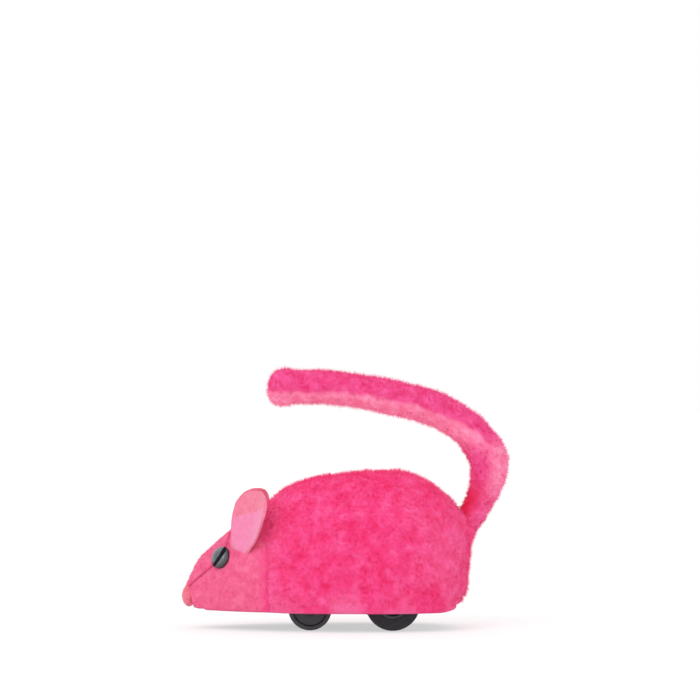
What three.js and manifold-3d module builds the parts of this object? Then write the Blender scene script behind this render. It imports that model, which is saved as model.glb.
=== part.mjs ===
// Friction mouse: a plush mouse on wheels, driven by a flywheel motor inside its body.
// Millimetres, +Z up. The nose points to -X and the left side faces -Y.
// The origin is on the floor, under the middle of the toy's bounding box.

import * as THREE from "three";
import { mergeVertices } from "three/addons/utils/BufferGeometryUtils.js";
import Module from "manifold-3d";

const wasm = await Module();
wasm.setup();

// Whole toy
const overallLength = 76.3;
const tailOverhang = 8.55;
const bodyWidth = 37;
const bodyHeight = 32.5;
const bellyHeight = 4.2;
const noseLean = 1.4;
const rumpLean = 1.8;
const leanExponent = 8;

// Sections of the stuffed body from nose to rump, as shares:
// place along the length, height of the back, lift of the belly, half width
const bodyShares = [
  [0.0, 0.185, 0.086, 0.07],
  [0.008, 0.212, 0.04, 0.13],
  [0.027, 0.277, 0.017, 0.2],
  [0.052, 0.357, 0.012, 0.265],
  [0.101, 0.458, 0.01, 0.385],
  [0.157, 0.56, 0.01, 0.52],
  [0.234, 0.68, 0.01, 0.68],
  [0.312, 0.803, 0.01, 0.8],
  [0.377, 0.898, 0.006, 0.885],
  [0.457, 0.957, 0.002, 0.95],
  [0.539, 0.978, 0.0, 0.985],
  [0.661, 1.0, 0.0, 1.0],
  [0.742, 1.0, 0.0, 0.98],
  [0.807, 0.966, 0.0, 0.935],
  [0.863, 0.905, 0.004, 0.855],
  [0.92, 0.803, 0.012, 0.735],
  [0.959, 0.717, 0.03, 0.6],
  [0.985, 0.618, 0.065, 0.44],
  [1.0, 0.5, 0.086, 0.2],
];
const domeExponent = 2.3;
const domeSteps = 12;
const hollowStart = 3;

// Clearances
const seatGap = 0.3;
const runningGap = 0.1;
const pressGap = 0.05;
const overrun = 1;

// Roundness of small round pieces and of wheels
const roundSides = 12;
const wheelSides = 24;

// Plush covers and the shell under them
const plushThickness = 1.7;
const shellWall = 1.2;
const seamShare = 0.296;
const postRadius = 2;

// Base plate
const plateLift = 0.2;
const plateThickness = 1.6;
const frontScrewShare = 0.474;
const rearScrewShare = 0.5635;
const rearScrewSpacingShare = 0.4325;

// Screws
const screwRadius = 0.8;
const screwHeadRadius = 1.4;
const screwHeadHeight = 0.7;
const screwFaceShare = 0.8;
const screwLength = 7;
const caseScrewRadius = 0.6;

// Nose
const noseWidth = 4.4;
const noseHeight = 4.2;
const noseDepth = 3.5;
const noseCentreHeight = 7.3;

// Eyes
const eyeRadius = 2.45;
const eyeDome = 1.5;
const eyeShare = 0.1375;
const eyeHeight = 16.3;
const eyeSink = 0.4;
const eyeShankRadius = 0.9;
const eyeShankLength = 3.6;
const eyeSlitWidth = 0.45;
const eyeSlitDepth = 0.5;
const eyeForwardTurn = THREE.MathUtils.degToRad(36);
const eyeUpwardTurn = THREE.MathUtils.degToRad(24);
const eyeSlitTurn = THREE.MathUtils.degToRad(57);

// The eye's dome from its edge to its crown, as shares: radius, height
const eyeDomeShares = [
  [0.92, 0.5],
  [0.7, 0.85],
  [0.36, 1.0],
  [0.0, 1.05],
];

// Ears
const earLength = 15.4;
const earWidth = 10.4;
const earThickness = 0.9;
const earCup = 1.7;
const earShare = 0.2117;
const earBaseHeight = 17.2;
const earSideShare = 0.2432;
const liningThickness = 0.5;
const earFacingTurn = THREE.MathUtils.degToRad(45);
const earLeanBack = THREE.MathUtils.degToRad(16);
const earLeanOut = THREE.MathUtils.degToRad(7);

// Rows of the ear and of its lining from root to tip, as shares:
// place along the ear, front edge, rear edge
const earShares = [
  [-0.1, -0.42, 0.42],
  [0.0, -0.49, 0.49],
  [0.15, -0.69, 0.69],
  [0.4, -0.94, 0.94],
  [0.58, -1.0, 1.0],
  [0.78, -0.94, 0.94],
  [0.9, -0.72, 0.72],
  [0.97, -0.42, 0.42],
  [1.0, -0.14, 0.14],
];
const liningShares = [
  [0.02, -0.4, 0.4],
  [0.15, -0.58, 0.58],
  [0.4, -0.83, 0.83],
  [0.56, -0.78, 0.88],
  [0.66, -0.3, 0.86],
  [0.76, 0.25, 0.8],
  [0.83, 0.56, 0.7],
];
const earRowShares = [-1, -0.5, 0, 0.5, 1];

// Tail
const tailLength = 47.2;
const tailRise = 31;
const tailRadius = 4.95;
const tailSetback = 1;
const tailRootHeight = 24.9;
const tailPile = 1.7;
const tailStubRadius = 1.3;
const tailKnotRadius = 2;
const tailKnotReach = 8.8;
const tailRoom = 0.6;
const tailSteps = 15;
const tailSides = 10;
const tailRootTurn = THREE.MathUtils.degToRad(45);
const tailSwing = THREE.MathUtils.degToRad(25);

// Middle line of the tail from root to tip, as shares:
// forward run, rise, radius
const tailShares = [
  [0.0, 0.0, 0.75],
  [-0.056, 0.157, 0.76],
  [-0.088, 0.285, 0.88],
  [-0.101, 0.426, 1.0],
  [-0.044, 0.612, 0.94],
  [0.048, 0.736, 0.89],
  [0.145, 0.825, 0.9],
  [0.347, 0.914, 0.9],
  [0.51, 0.965, 0.88],
  [0.688, 1.0, 0.88],
  [0.86, 1.004, 0.88],
  [0.97, 1.0, 0.84],
  [1.0, 1.0, 0.55],
];

// Wheels and axles
const rearAxleShare = 0.723;
const rearWheelRadius = 6.36;
const frontWheelRadius = 5;
const rearWheelCover = 1.26;
const frontWheelCover = 2.63;
const rearTyreWidth = 3.8;
const frontWheelWidth = 3;
const tyreBoreRadius = 3.7;
const axleRadius = 0.9;
const hubBossRadius = 1.5;
const hubCap = 1;
const faceRecess = 0.6;
const wheelRim = 1;
const wheelRoom = 0.6;
const axleHousingHalf = 2.2;
const axleHousingWall = 0.7;

// Gear train
const gearModule = 0.5;
const addendumShare = 0.8;
const dedendumShare = 1.1;
const pressureAngle = THREE.MathUtils.degToRad(27);
const backlash = 0.1;
const driveTeeth = 16;
const lowerPinionTeeth = 8;
const lowerWheelTeeth = 17;
const upperPinionTeeth = 8;
const upperWheelTeeth = 19;
const flywheelPinionTeeth = 8;
const lowerIdlerTurn = THREE.MathUtils.degToRad(130);
const upperIdlerTurn = THREE.MathUtils.degToRad(100);
const flywheelTurn = THREE.MathUtils.degToRad(200);
const driveGearWidth = 2;
const idlerGearWidth = 1.4;
const gearSpacing = 0.3;
const pinRadius = 0.6;
const idlerHubRadius = 1.3;

// Flywheel
const flywheelRadius = 5.8;
const flywheelWidth = 4.4;
const flywheelDish = 0.8;
const flywheelRim = 1.3;
const flywheelHub = 1.7;

// Motor case
const caseWall = 0.9;
const caseRoom = 0.3;
const caseEndGap = 0.5;
const pinSeatDepth = 0.5;
const caseWindowWidth = 4.6;
const caseBossRadius = 1.9;
const caseBossReach = 1.3;
const rearBossTurn = THREE.MathUtils.degToRad(5);
const frontBossTurn = THREE.MathUtils.degToRad(170);
const lugThickness = 1;
const lugWidth = 4;
const lugEdge = 1.6;
const frontLugReach = 15.2;
const rearLugReach = 7.8;

// Places that follow from the sizes above
const bodyLength = overallLength - tailOverhang;
const noseX = -overallLength / 2;
const rumpX = noseX + bodyLength;
const seamX = noseX + bodyLength * seamShare;
const plateBottom = bellyHeight + plateLift;
const plateTop = plateBottom + plateThickness;
const coverInset = plushThickness;
const shellInset = coverInset + seatGap;
const cavityInset = shellInset + shellWall;
const tailRoot = new THREE.Vector3(rumpX - tailSetback, 0, tailRootHeight);
const driveCentre = new THREE.Vector2(noseX + bodyLength * rearAxleShare, rearWheelRadius);

// The front axle's bearing block stands just ahead of the motor's front lug
const axleSpacing = frontLugReach + lugEdge + axleHousingHalf + pressGap;
const frontCentre = new THREE.Vector2(driveCentre.x - axleSpacing, frontWheelRadius);

// The wheels stand inside the narrowest part of the plate that they pass
const frontWellStart = frontCentre.x - frontWheelRadius - wheelRoom;
const frontWellReach = halfWidth(frontWellStart, shellInset) - frontWheelCover;
const frontTrack = 2 * (frontWellReach - wheelRoom) - frontWheelWidth;
const rearWellEnd = driveCentre.x + rearWheelRadius + wheelRoom;
const rearWellReach = halfWidth(rearWellEnd, shellInset) - rearWheelCover;
const rearTrack = 2 * (rearWellReach - wheelRoom) - rearTyreWidth;

// Each gear of the train stands against the one before it
const lowerCentre = nextCentre(driveCentre, driveTeeth, lowerPinionTeeth, lowerIdlerTurn);
const upperCentre = nextCentre(lowerCentre, lowerWheelTeeth, upperPinionTeeth, upperIdlerTurn);
const flywheelCentre = nextCentre(upperCentre, upperWheelTeeth, flywheelPinionTeeth, flywheelTurn);

// The gears and the flywheel stand side by side across the motor case
const stackWidth =
  driveGearWidth + 2 * idlerGearWidth + 3 * gearSpacing + flywheelWidth + 2 * caseEndGap;
const caseInnerHalf = stackWidth / 2;
const caseHalf = caseInnerHalf + caseWall;
const drivePlane = -caseInnerHalf + caseEndGap;
const lowerPlane = drivePlane + driveGearWidth + gearSpacing;
const upperPlane = lowerPlane + idlerGearWidth + gearSpacing;
const flywheelPlane = upperPlane + idlerGearWidth + gearSpacing;

// Turns a closed geometry into a solid that can be joined and cut.
function solid(geometry) {
  geometry.deleteAttribute("normal");
  geometry.deleteAttribute("uv");
  const merged = mergeVertices(geometry);
  const mesh = new wasm.Mesh({
    numProp: 3,
    vertProperties: merged.attributes.position.array,
    triVerts: new Uint32Array(merged.index.array),
  });
  return new wasm.Manifold(mesh);
}

function join(first, ...others) {
  return others.reduce((sum, other) => sum.add(other), first);
}

function cut(first, ...others) {
  return others.reduce((rest, other) => rest.subtract(other), first);
}

// A box between two corners.
function box(x0, x1, y0, y1, z0, z1) {
  const geometry = new THREE.BoxGeometry(x1 - x0, y1 - y0, z1 - z0);
  return solid(geometry.translate((x0 + x1) / 2, (y0 + y1) / 2, (z0 + z1) / 2));
}

// A round rod across the toy, from y0 to y1, centred on a point of the side view.
function rod(radius, y0, y1, centre, sides = roundSides) {
  const geometry = new THREE.CylinderGeometry(radius, radius, y1 - y0, sides);
  return solid(geometry.translate(centre.x, (y0 + y1) / 2, centre.y));
}

// An upright round post from z0 to z1.
function post(radius, z0, z1, x, y) {
  const geometry = new THREE.CylinderGeometry(radius, radius, z1 - z0, roundSides);
  return solid(geometry.rotateX(Math.PI / 2).translate(x, y, (z0 + z1) / 2));
}

function ball(radius, centre, sides = roundSides) {
  const geometry = new THREE.SphereGeometry(radius, sides, sides / 2);
  return solid(geometry.translate(centre.x, centre.y, centre.z));
}

// A flat outline of the side view, given its thickness from y0 to y1.
function slab(outline, y0, y1, centre) {
  const geometry = new THREE.ExtrudeGeometry(outline, { depth: y1 - y0, bevelEnabled: false });
  return solid(geometry.rotateX(Math.PI / 2).translate(centre.x, y1, centre.y));
}

// A solid of revolution about the Y axis; the profile holds radius and place pairs.
function turned(profile, sides = roundSides) {
  const points = profile.map(([radius, place]) => new THREE.Vector2(radius, place));
  return new THREE.LatheGeometry(points, sides).rotateY(Math.PI / sides);
}

// A closed solid through rings of equal point counts, with flat ends.
function loft(rings) {
  const count = rings[0].length;
  const places = rings.flat().flatMap((point) => point.toArray());
  const faces = [];
  for (let i = 0; i + 1 < rings.length; i++) {
    for (let j = 0; j < count; j++) {
      const a = i * count + j;
      const b = i * count + ((j + 1) % count);
      faces.push(a, b, b + count, a, b + count, a + count);
    }
  }
  const last = (rings.length - 1) * count;
  for (let j = 1; j + 1 < count; j++) {
    faces.push(0, j + 1, j, last, last + j, last + j + 1);
  }
  const geometry = new THREE.BufferGeometry();
  geometry.setAttribute("position", new THREE.Float32BufferAttribute(places, 3));
  geometry.setIndex(faces);
  return solid(geometry);
}

// The stuffed body, drawn in on all sides by an inset. A drop carries the walls down past the belly.
function bodyForm(inset, drop) {
  const squeeze = 1 - (2 * inset) / bodyLength;
  const middle = (noseX + rumpX) / 2;
  const power = 2 / domeExponent;
  const first = inset > 0 ? hollowStart : 0;
  const rings = bodyShares.slice(first).map(([along, back, belly, half]) => {
    const x = middle + (noseX + bodyLength * along - middle) * squeeze;
    const bottom = bellyHeight + bodyHeight * belly;
    const height = bodyHeight * (back - belly) - inset;
    const reach = (bodyWidth / 2) * half - inset;
    const lean = noseLean * (1 - along) ** leanExponent - rumpLean * along ** leanExponent;
    const ring = [];
    for (let j = 0; j <= domeSteps; j++) {
      const turn = (Math.PI * j) / domeSteps;
      const across = Math.cos(turn);
      const up = Math.sin(turn) ** power;
      const y = reach * Math.sign(across) * Math.abs(across) ** power;
      ring.push(new THREE.Vector3(x + lean * (1 - up), y, bottom + height * up));
    }
    if (drop > 0) {
      ring.push(new THREE.Vector3(x + lean, -reach, bottom - drop));
      ring.unshift(new THREE.Vector3(x + lean, reach, bottom - drop));
    }
    return ring;
  });
  return loft(rings);
}

// The body's section at a share of its length: height of the back, lift of the belly, half width
function sectionAt(share) {
  const next = bodyShares.findIndex(([along]) => along >= share);
  const [a, b] = [bodyShares[next - 1], bodyShares[next]];
  const mix = (share - a[0]) / (b[0] - a[0]);
  return a.map((value, i) => value + (b[i] - value) * mix).slice(1);
}

// Half width of the body at a length and a height, for what sits on its side.
function sideReach(x, z) {
  const [back, belly, half] = sectionAt((x - noseX) / bodyLength);
  const up = (z - bellyHeight - bodyHeight * belly) / (bodyHeight * (back - belly));
  return (bodyWidth / 2) * half * (1 - up ** domeExponent) ** (1 / domeExponent);
}

// Half width at its foot of the body drawn in by an inset.
function halfWidth(x, inset) {
  const middle = (noseX + rumpX) / 2;
  const outer = middle + (x - middle) / (1 - (2 * inset) / bodyLength);
  const [, , half] = sectionAt((outer - noseX) / bodyLength);
  return (bodyWidth / 2) * half - inset;
}

// The tail, thinner all over by an inset. Its root is a ball that turns in the rump.
function tailForm(inset) {
  const points = tailShares.map(
    ([run, rise, radius]) =>
      new THREE.Vector3(tailRoot.x - tailLength * run, tailRadius * radius, tailRoot.z + tailRise * rise),
  );
  const curve = new THREE.CatmullRomCurve3(points);
  const end = 1 - Math.max(0, inset) / curve.getLength();
  const rings = [];
  for (let i = 0; i <= tailSteps; i++) {
    const place = curve.getPointAt((end * i) / tailSteps);
    const ahead = curve.getTangentAt((end * i) / tailSteps);
    const radius = place.y - inset;
    const flat = new THREE.Vector2(ahead.x, ahead.z).normalize();
    const ring = [];
    for (let j = 0; j < tailSides; j++) {
      const turn = (2 * Math.PI * j) / tailSides;
      const out = radius * Math.cos(turn);
      const side = radius * Math.sin(turn);
      ring.push(new THREE.Vector3(place.x - flat.y * out, -side, place.z + flat.x * out));
    }
    rings.push(ring);
  }
  return join(loft(rings), ball(tailRootRadius() - inset, tailRoot));
}

function tailRootRadius() {
  return tailRadius * tailShares[0][2];
}

// A rod from the tail's root into the body, thick as its radius.
function tailStub(radius, reach) {
  const geometry = new THREE.CylinderGeometry(radius, radius, reach, roundSides);
  geometry.translate(0, -reach / 2, 0).rotateZ(tailRootTurn - Math.PI / 2).rotateX(Math.PI / 2);
  return solid(geometry.translate(tailRoot.x, tailRoot.y, tailRoot.z));
}

// Where two gears mesh, the second gear's axis lies at the sum of the pitch radii.
function nextCentre(centre, teeth, nextTeeth, turn) {
  const distance = (gearModule * (teeth + nextTeeth)) / 2;
  return new THREE.Vector2(Math.cos(turn), Math.sin(turn)).multiplyScalar(distance).add(centre);
}

function tipRadius(teeth) {
  return gearModule * (teeth / 2 + addendumShare);
}

// An involute gear from a place across the toy, with a tooth pointing along the turn.
function gear({ teeth, turn, place, width, centre, bore }) {
  const pitch = (gearModule * teeth) / 2;
  const base = pitch * Math.cos(pressureAngle);
  const root = pitch - gearModule * dedendumShare;
  const involute = (angle) => Math.tan(angle) - angle;
  const halfAtPitch = (Math.PI * gearModule - backlash) / 4 / pitch;
  const halfAt = (radius) =>
    halfAtPitch + involute(pressureAngle) - involute(Math.acos(Math.min(1, base / radius)));
  const flank = [root, pitch, tipRadius(teeth)];
  const points = [];
  for (let i = 0; i < teeth; i++) {
    const middle = turn + (2 * Math.PI * i) / teeth;
    const rising = flank.map((radius) => [radius, middle - halfAt(radius)]);
    const falling = flank.toReversed().map((radius) => [radius, middle + halfAt(radius)]);
    for (const [radius, angle] of [...rising, ...falling]) {
      points.push(new THREE.Vector2(Math.cos(angle), Math.sin(angle)).multiplyScalar(radius));
    }
  }
  const blank = slab(new THREE.Shape(points), place, place + width, centre);
  return cut(blank, rod(bore, place - overrun, place + width + overrun, centre));
}

// The convex outline round circles of the side view.
function outlineRound(circles) {
  const points = circles.flatMap(([centre, radius]) =>
    Array.from({ length: wheelSides }, (_, i) => {
      const turn = (2 * Math.PI * i) / wheelSides;
      return new THREE.Vector2(Math.cos(turn), Math.sin(turn)).multiplyScalar(radius).add(centre);
    }),
  );
  points.sort((a, b) => a.x - b.x || a.y - b.y);
  const turnsLeft = (a, b, c) => (b.x - a.x) * (c.y - a.y) - (b.y - a.y) * (c.x - a.x) > 0;
  const chain = (row) => {
    const kept = [];
    for (const point of row) {
      while (kept.length > 1 && !turnsLeft(kept.at(-2), kept.at(-1), point)) kept.pop();
      kept.push(point);
    }
    return kept.slice(0, -1);
  };
  return new THREE.Shape([...chain(points), ...chain(points.toReversed())]);
}

// Materials
function matter(color, roughness, metalness = 0) {
  return new THREE.MeshStandardMaterial({ color, roughness, metalness });
}
const materials = {
  plush: matter(0xf84a88, 1),
  velour: matter(0xf3709a, 1),
  noseFelt: matter(0xe57989, 1),
  earFelt: matter(0xf68a96, 1),
  earLining: matter(0xf895bb, 1),
  stuffing: matter(0xf1e6ea, 1),
  eyeBead: matter(0x26292e, 0.15),
  shellPlastic: matter(0x2b2b2f, 0.45),
  casePlastic: matter(0xd9d5cc, 0.5),
  gearPlastic: matter(0xf2efe6, 0.4),
  wheelPlastic: matter(0x232327, 0.35),
  rubber: matter(0x1b1b1d, 0.85),
  steel: matter(0xb9bcc0, 0.3, 1),
};

const mouse = new THREE.Group();

// Puts a finished solid into the toy under its name.
function add(name, body, material) {
  const { numProp, vertProperties, triVerts } = body.getMesh();
  const geometry = new THREE.BufferGeometry();
  geometry.setAttribute("position", new THREE.BufferAttribute(vertProperties, numProp));
  geometry.setIndex(new THREE.BufferAttribute(triVerts, 1));
  geometry.computeVertexNormals();
  const mesh = new THREE.Mesh(geometry, material);
  mesh.name = name;
  mouse.add(mesh);
}

// The places of the two sides: name, and the sign of Y
const sides = [
  ["left", -1],
  ["right", 1],
];

// A pan head screw along +Z with the underside of its head at the origin.
function screw(radius, length) {
  const profile = [
    [0, -screwHeadHeight],
    [screwHeadRadius * screwFaceShare, -screwHeadHeight],
    [screwHeadRadius, -screwHeadHeight / 2],
    [screwHeadRadius, 0],
    [radius, 0],
    [radius, length - radius],
    [0, length],
  ];
  return turned(profile).rotateX(Math.PI / 2);
}

// Screws from below through the base plate into posts under the shell's roof:
// one ahead of the front wheels and two behind the rear ones
const frontScrewX = noseX + (frontCentre.x - noseX) * frontScrewShare;
const rearScrewX = driveCentre.x + (rumpX - driveCentre.x) * rearScrewShare;
const rearScrewY = (bodyWidth * rearScrewSpacingShare) / 2;
const baseScrews = [
  ["front", frontScrewX, 0],
  ["rear_left", rearScrewX, -rearScrewY],
  ["rear_right", rearScrewX, rearScrewY],
];

function buildBaseScrews() {
  for (const [place, x, y] of baseScrews) {
    const geometry = screw(screwRadius, screwLength).translate(x, y, plateBottom + screwHeadHeight);
    add(`base_screw_${place}`, solid(geometry), materials.steel);
  }
}

// The eye's own place: its bead looks along +Y until it is turned outwards.
function placeEye(geometry, side) {
  const x = noseX + bodyLength * eyeShare;
  const y = sideReach(x, eyeHeight) - eyeSink;
  geometry.rotateX(eyeUpwardTurn).rotateZ(eyeForwardTurn);
  if (side < 0) geometry.scale(1, -1, 1);
  return geometry.translate(x, side * y, eyeHeight);
}

function mirrorFaces(geometry) {
  const faces = geometry.index.array;
  for (let i = 0; i < faces.length; i += 3) {
    [faces[i], faces[i + 1]] = [faces[i + 1], faces[i]];
  }
  return geometry;
}

function eyeSolid(side, room) {
  const radius = eyeRadius + room;
  const shank = eyeShankRadius + room;
  const profile = [
    [0, -eyeShankLength - room],
    [shank, -eyeShankLength - room],
    [shank, -room],
    [radius, -room],
    ...eyeDomeShares.map(([out, up]) => [radius * out, eyeDome * up]),
  ];
  const geometry = placeEye(turned(profile), side);
  return solid(side < 0 ? mirrorFaces(geometry) : geometry);
}

function eyeSlit(side) {
  const geometry = new THREE.BoxGeometry(2 * eyeRadius + overrun, 2 * eyeSlitDepth, eyeSlitWidth);
  const [, crown] = eyeDomeShares.at(-1);
  geometry.rotateY(-eyeSlitTurn).translate(0, eyeDome * crown, 0);
  const placed = placeEye(geometry, side);
  return solid(side < 0 ? mirrorFaces(placed) : placed);
}

function buildEyes() {
  for (const [place, side] of sides) {
    add(`eye_${place}`, cut(eyeSolid(side, 0), eyeSlit(side)), materials.eyeBead);
  }
}

// The felt nose, an egg set into the tip of the head
function noseSolid(room) {
  const geometry = new THREE.SphereGeometry(1, roundSides, roundSides / 2);
  geometry.scale(noseDepth / 2 + room, noseWidth / 2 + room, noseHeight / 2 + room);
  return solid(geometry.translate(noseX + noseDepth / 2, 0, noseCentreHeight));
}

// What the tail needs in the rump: a round seat and a slot wide enough for its swing
function tailSocket() {
  const reach = cavityInset + shellWall;
  const half = reach * Math.tan(tailSwing) + tailStubRadius / Math.cos(tailSwing) + seatGap;
  const slot = new THREE.BoxGeometry(2 * reach, 2 * half, 2 * (tailStubRadius + seatGap));
  slot.translate(-reach, 0, 0).rotateY(-tailRootTurn).translate(tailRoot.x, tailRoot.y, tailRoot.z);
  return join(tailForm(-tailRoom), solid(slot));
}

function buildCovers() {
  const form = bodyForm(0, 0);
  const hollow = bodyForm(coverInset, overrun);
  const tall = bellyHeight + bodyHeight;
  const behind = box(seamX + seatGap / 2, rumpX + overrun, -bodyWidth, bodyWidth, 0, 2 * tall);
  const front = box(noseX - overrun, seamX - seatGap / 2, -bodyWidth, bodyWidth, 0, 2 * tall);
  add("body_cover", cut(form.intersect(behind), hollow, tailSocket()), materials.plush);
  const eyes = sides.map(([, side]) => eyeSolid(side, seatGap));
  const head = cut(form.intersect(front), hollow, noseSolid(seatGap), ...eyes);
  add("head_cover", head, materials.velour);
  add("nose", noseSolid(0), materials.noseFelt);
}

function buildShell() {
  const tall = bellyHeight + bodyHeight;
  const above = box(noseX, rumpX, -bodyWidth, bodyWidth, plateTop, tall);
  const roof = bodyForm(cavityInset - shellWall / 2, overrun);
  const posts = baseScrews.map(([, x, y]) => post(postRadius, plateTop, tall, x, y).intersect(roof));
  const holes = baseScrews.map(([, x, y]) =>
    post(screwRadius + pressGap, plateTop - overrun, plateBottom + screwLength + overrun, x, y),
  );
  const eyes = sides.map(([, side]) => eyeSolid(side, pressGap));
  const walls = cut(bodyForm(shellInset, overrun), bodyForm(cavityInset, overrun)).intersect(above);
  add("body_shell", cut(join(walls, ...posts), ...holes, ...eyes, tailSocket()), materials.shellPlastic);
}

// The curved leaf of an ear or of its lining, lifted forward off the ear's middle.
function earLeaf(shares, thickness, lift) {
  const rings = shares.map(([along, front, rear]) => {
    const face = (share, forward) => {
      const across = (earWidth / 2) * ((front + rear) / 2 + ((rear - front) / 2) * share);
      const curl = earCup * (across / (earWidth / 2)) ** 2;
      return new THREE.Vector3(across, curl + lift + forward, earLength * along);
    };
    const outer = earRowShares.map((share) => face(share, thickness / 2));
    const inner = earRowShares.toReversed().map((share) => face(share, -thickness / 2));
    return [...outer, ...inner];
  });
  return rings;
}

// Stands a leaf on the side of the head, facing forward and outward.
function placeEar(rings, side) {
  const turn = new THREE.Matrix4()
    .makeTranslation(noseX + bodyLength * earShare, side * bodyWidth * earSideShare, earBaseHeight)
    .multiply(new THREE.Matrix4().makeScale(1, side, 1))
    .multiply(new THREE.Matrix4().makeRotationY(earLeanBack))
    .multiply(new THREE.Matrix4().makeRotationX(-earLeanOut))
    .multiply(new THREE.Matrix4().makeRotationZ(earFacingTurn));
  const placed = rings.map((ring) => ring.map((point) => point.clone().applyMatrix4(turn)));
  return loft(side > 0 ? placed.map((ring) => ring.toReversed()) : placed);
}

function buildEars() {
  const head = bodyForm(-seatGap, 0);
  const lift = earThickness / 2 + seatGap + liningThickness / 2;
  for (const [place, side] of sides) {
    const ear = placeEar(earLeaf(earShares, earThickness, 0), side);
    const lining = placeEar(earLeaf(liningShares, liningThickness, lift), side);
    add(`ear_${place}`, cut(ear, head), materials.earFelt);
    add(`ear_lining_${place}`, cut(lining, head), materials.earLining);
  }
}

function buildTail() {
  const sleeve = cut(tailForm(0), tailForm(tailPile), tailStub(tailStubRadius + seatGap, tailKnotReach));
  const inward = new THREE.Vector3(-Math.cos(tailRootTurn), 0, -Math.sin(tailRootTurn));
  const knot = ball(tailKnotRadius, inward.multiplyScalar(tailKnotReach).add(tailRoot));
  const core = join(tailForm(tailPile + seatGap), tailStub(tailStubRadius, tailKnotReach), knot);
  add("tail_sleeve", sleeve, materials.plush);
  add("tail_core", core, materials.stuffing);
}

// Screws from above through the motor's lugs into the base plate
const motorScrews = [
  ["front", driveCentre.x - frontLugReach, -1],
  ["rear", driveCentre.x + rearLugReach, 1],
];

function motorScrewY(side) {
  return side * (caseEndGap + lugWidth / 2);
}

function buildMotorScrews() {
  for (const [place, x, side] of motorScrews) {
    const length = lugThickness + plateThickness;
    const geometry = screw(screwRadius, length).rotateX(Math.PI);
    geometry.translate(x, motorScrewY(side), plateTop + lugThickness);
    add(`motor_screw_${place}`, solid(geometry), materials.steel);
  }
}

// Bearing block of the front axle, a bar under and over the plate
function frontAxleHousing() {
  const half = frontTrack / 2 - frontWheelWidth / 2 - wheelRoom;
  const low = frontCentre.y - axleRadius - axleHousingWall;
  const high = frontCentre.y + axleRadius + axleHousingWall;
  const [x0, x1] = [frontCentre.x - axleHousingHalf, frontCentre.x + axleHousingHalf];
  return box(x0, x1, -half, half, low, high);
}

// Room for a wheel to come through the plate
function wheelWell(centre, radius, track, width, side) {
  const half = width / 2 + wheelRoom;
  const middle = (side * track) / 2;
  const reach = radius + wheelRoom;
  const [z0, z1] = [plateBottom - overrun, plateTop + overrun];
  return box(centre.x - reach, centre.x + reach, middle - half, middle + half, z0, z1);
}

function buildBasePlate() {
  const [low, high] = [plateBottom - overrun, plateTop + overrun];
  const form = bodyForm(shellInset, overrun);
  const sheet = form.intersect(box(noseX, rumpX, -bodyWidth, bodyWidth, plateBottom, plateTop));
  const wells = sides.flatMap(([, side]) => [
    wheelWell(driveCentre, rearWheelRadius, rearTrack, rearTyreWidth, side),
    wheelWell(frontCentre, frontWheelRadius, frontTrack, frontWheelWidth, side),
  ]);
  const grown = caseOutline(caseWall + seatGap);
  const window = slab(grown, -caseHalf - seatGap, caseHalf + seatGap, new THREE.Vector2());
  const notchHalf = hubBossRadius + seatGap;
  const notchReach = rearTrack / 2;
  const notch = box(driveCentre.x - notchHalf, driveCentre.x + notchHalf, -notchReach, notchReach, low, high);
  const frontBore = rod(axleRadius + runningGap, -frontTrack / 2, frontTrack / 2, frontCentre);
  const screwHoles = baseScrews.flatMap(([, x, y]) => [
    post(screwRadius + runningGap, low, high, x, y),
    post(screwHeadRadius + runningGap, low, plateBottom + screwHeadHeight + pressGap, x, y),
  ]);
  const motorHoles = motorScrews.map(([, x, side]) =>
    post(screwRadius + pressGap, low, high, x, motorScrewY(side)),
  );
  const drilled = cut(sheet, ...wells, window, notch, ...screwHoles, ...motorHoles);
  add("base_plate", cut(join(drilled, frontAxleHousing()), frontBore), materials.shellPlastic);
}

// Round the gears and the flywheel, with an allowance all round
function caseOutline(allowance) {
  const room = caseRoom + allowance;
  return outlineRound([
    [driveCentre, tipRadius(driveTeeth) + room],
    [lowerCentre, tipRadius(lowerWheelTeeth) + room],
    [upperCentre, tipRadius(upperWheelTeeth) + room],
    [flywheelCentre, flywheelRadius + room],
  ]);
}

// The two screws that close the motor case pass through bosses on its rim
function caseBossCentre(centre, radius, turn) {
  const distance = radius + caseRoom + caseWall + caseBossReach;
  return new THREE.Vector2(Math.cos(turn), Math.sin(turn)).multiplyScalar(distance).add(centre);
}
const caseBosses = [
  ["rear", caseBossCentre(upperCentre, tipRadius(upperWheelTeeth), rearBossTurn)],
  ["front", caseBossCentre(flywheelCentre, flywheelRadius, frontBossTurn)],
];

// A window through the left half, over the gears, to see and to oil them
function caseWindow() {
  const half = caseWindowWidth / 2;
  const { x, y: z } = lowerCentre.clone().add(flywheelCentre).divideScalar(2);
  const [y0, y1] = [-caseHalf - overrun, -caseInnerHalf + overrun];
  return box(x - half, x + half, y0, y1, z - half, z + half);
}

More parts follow.
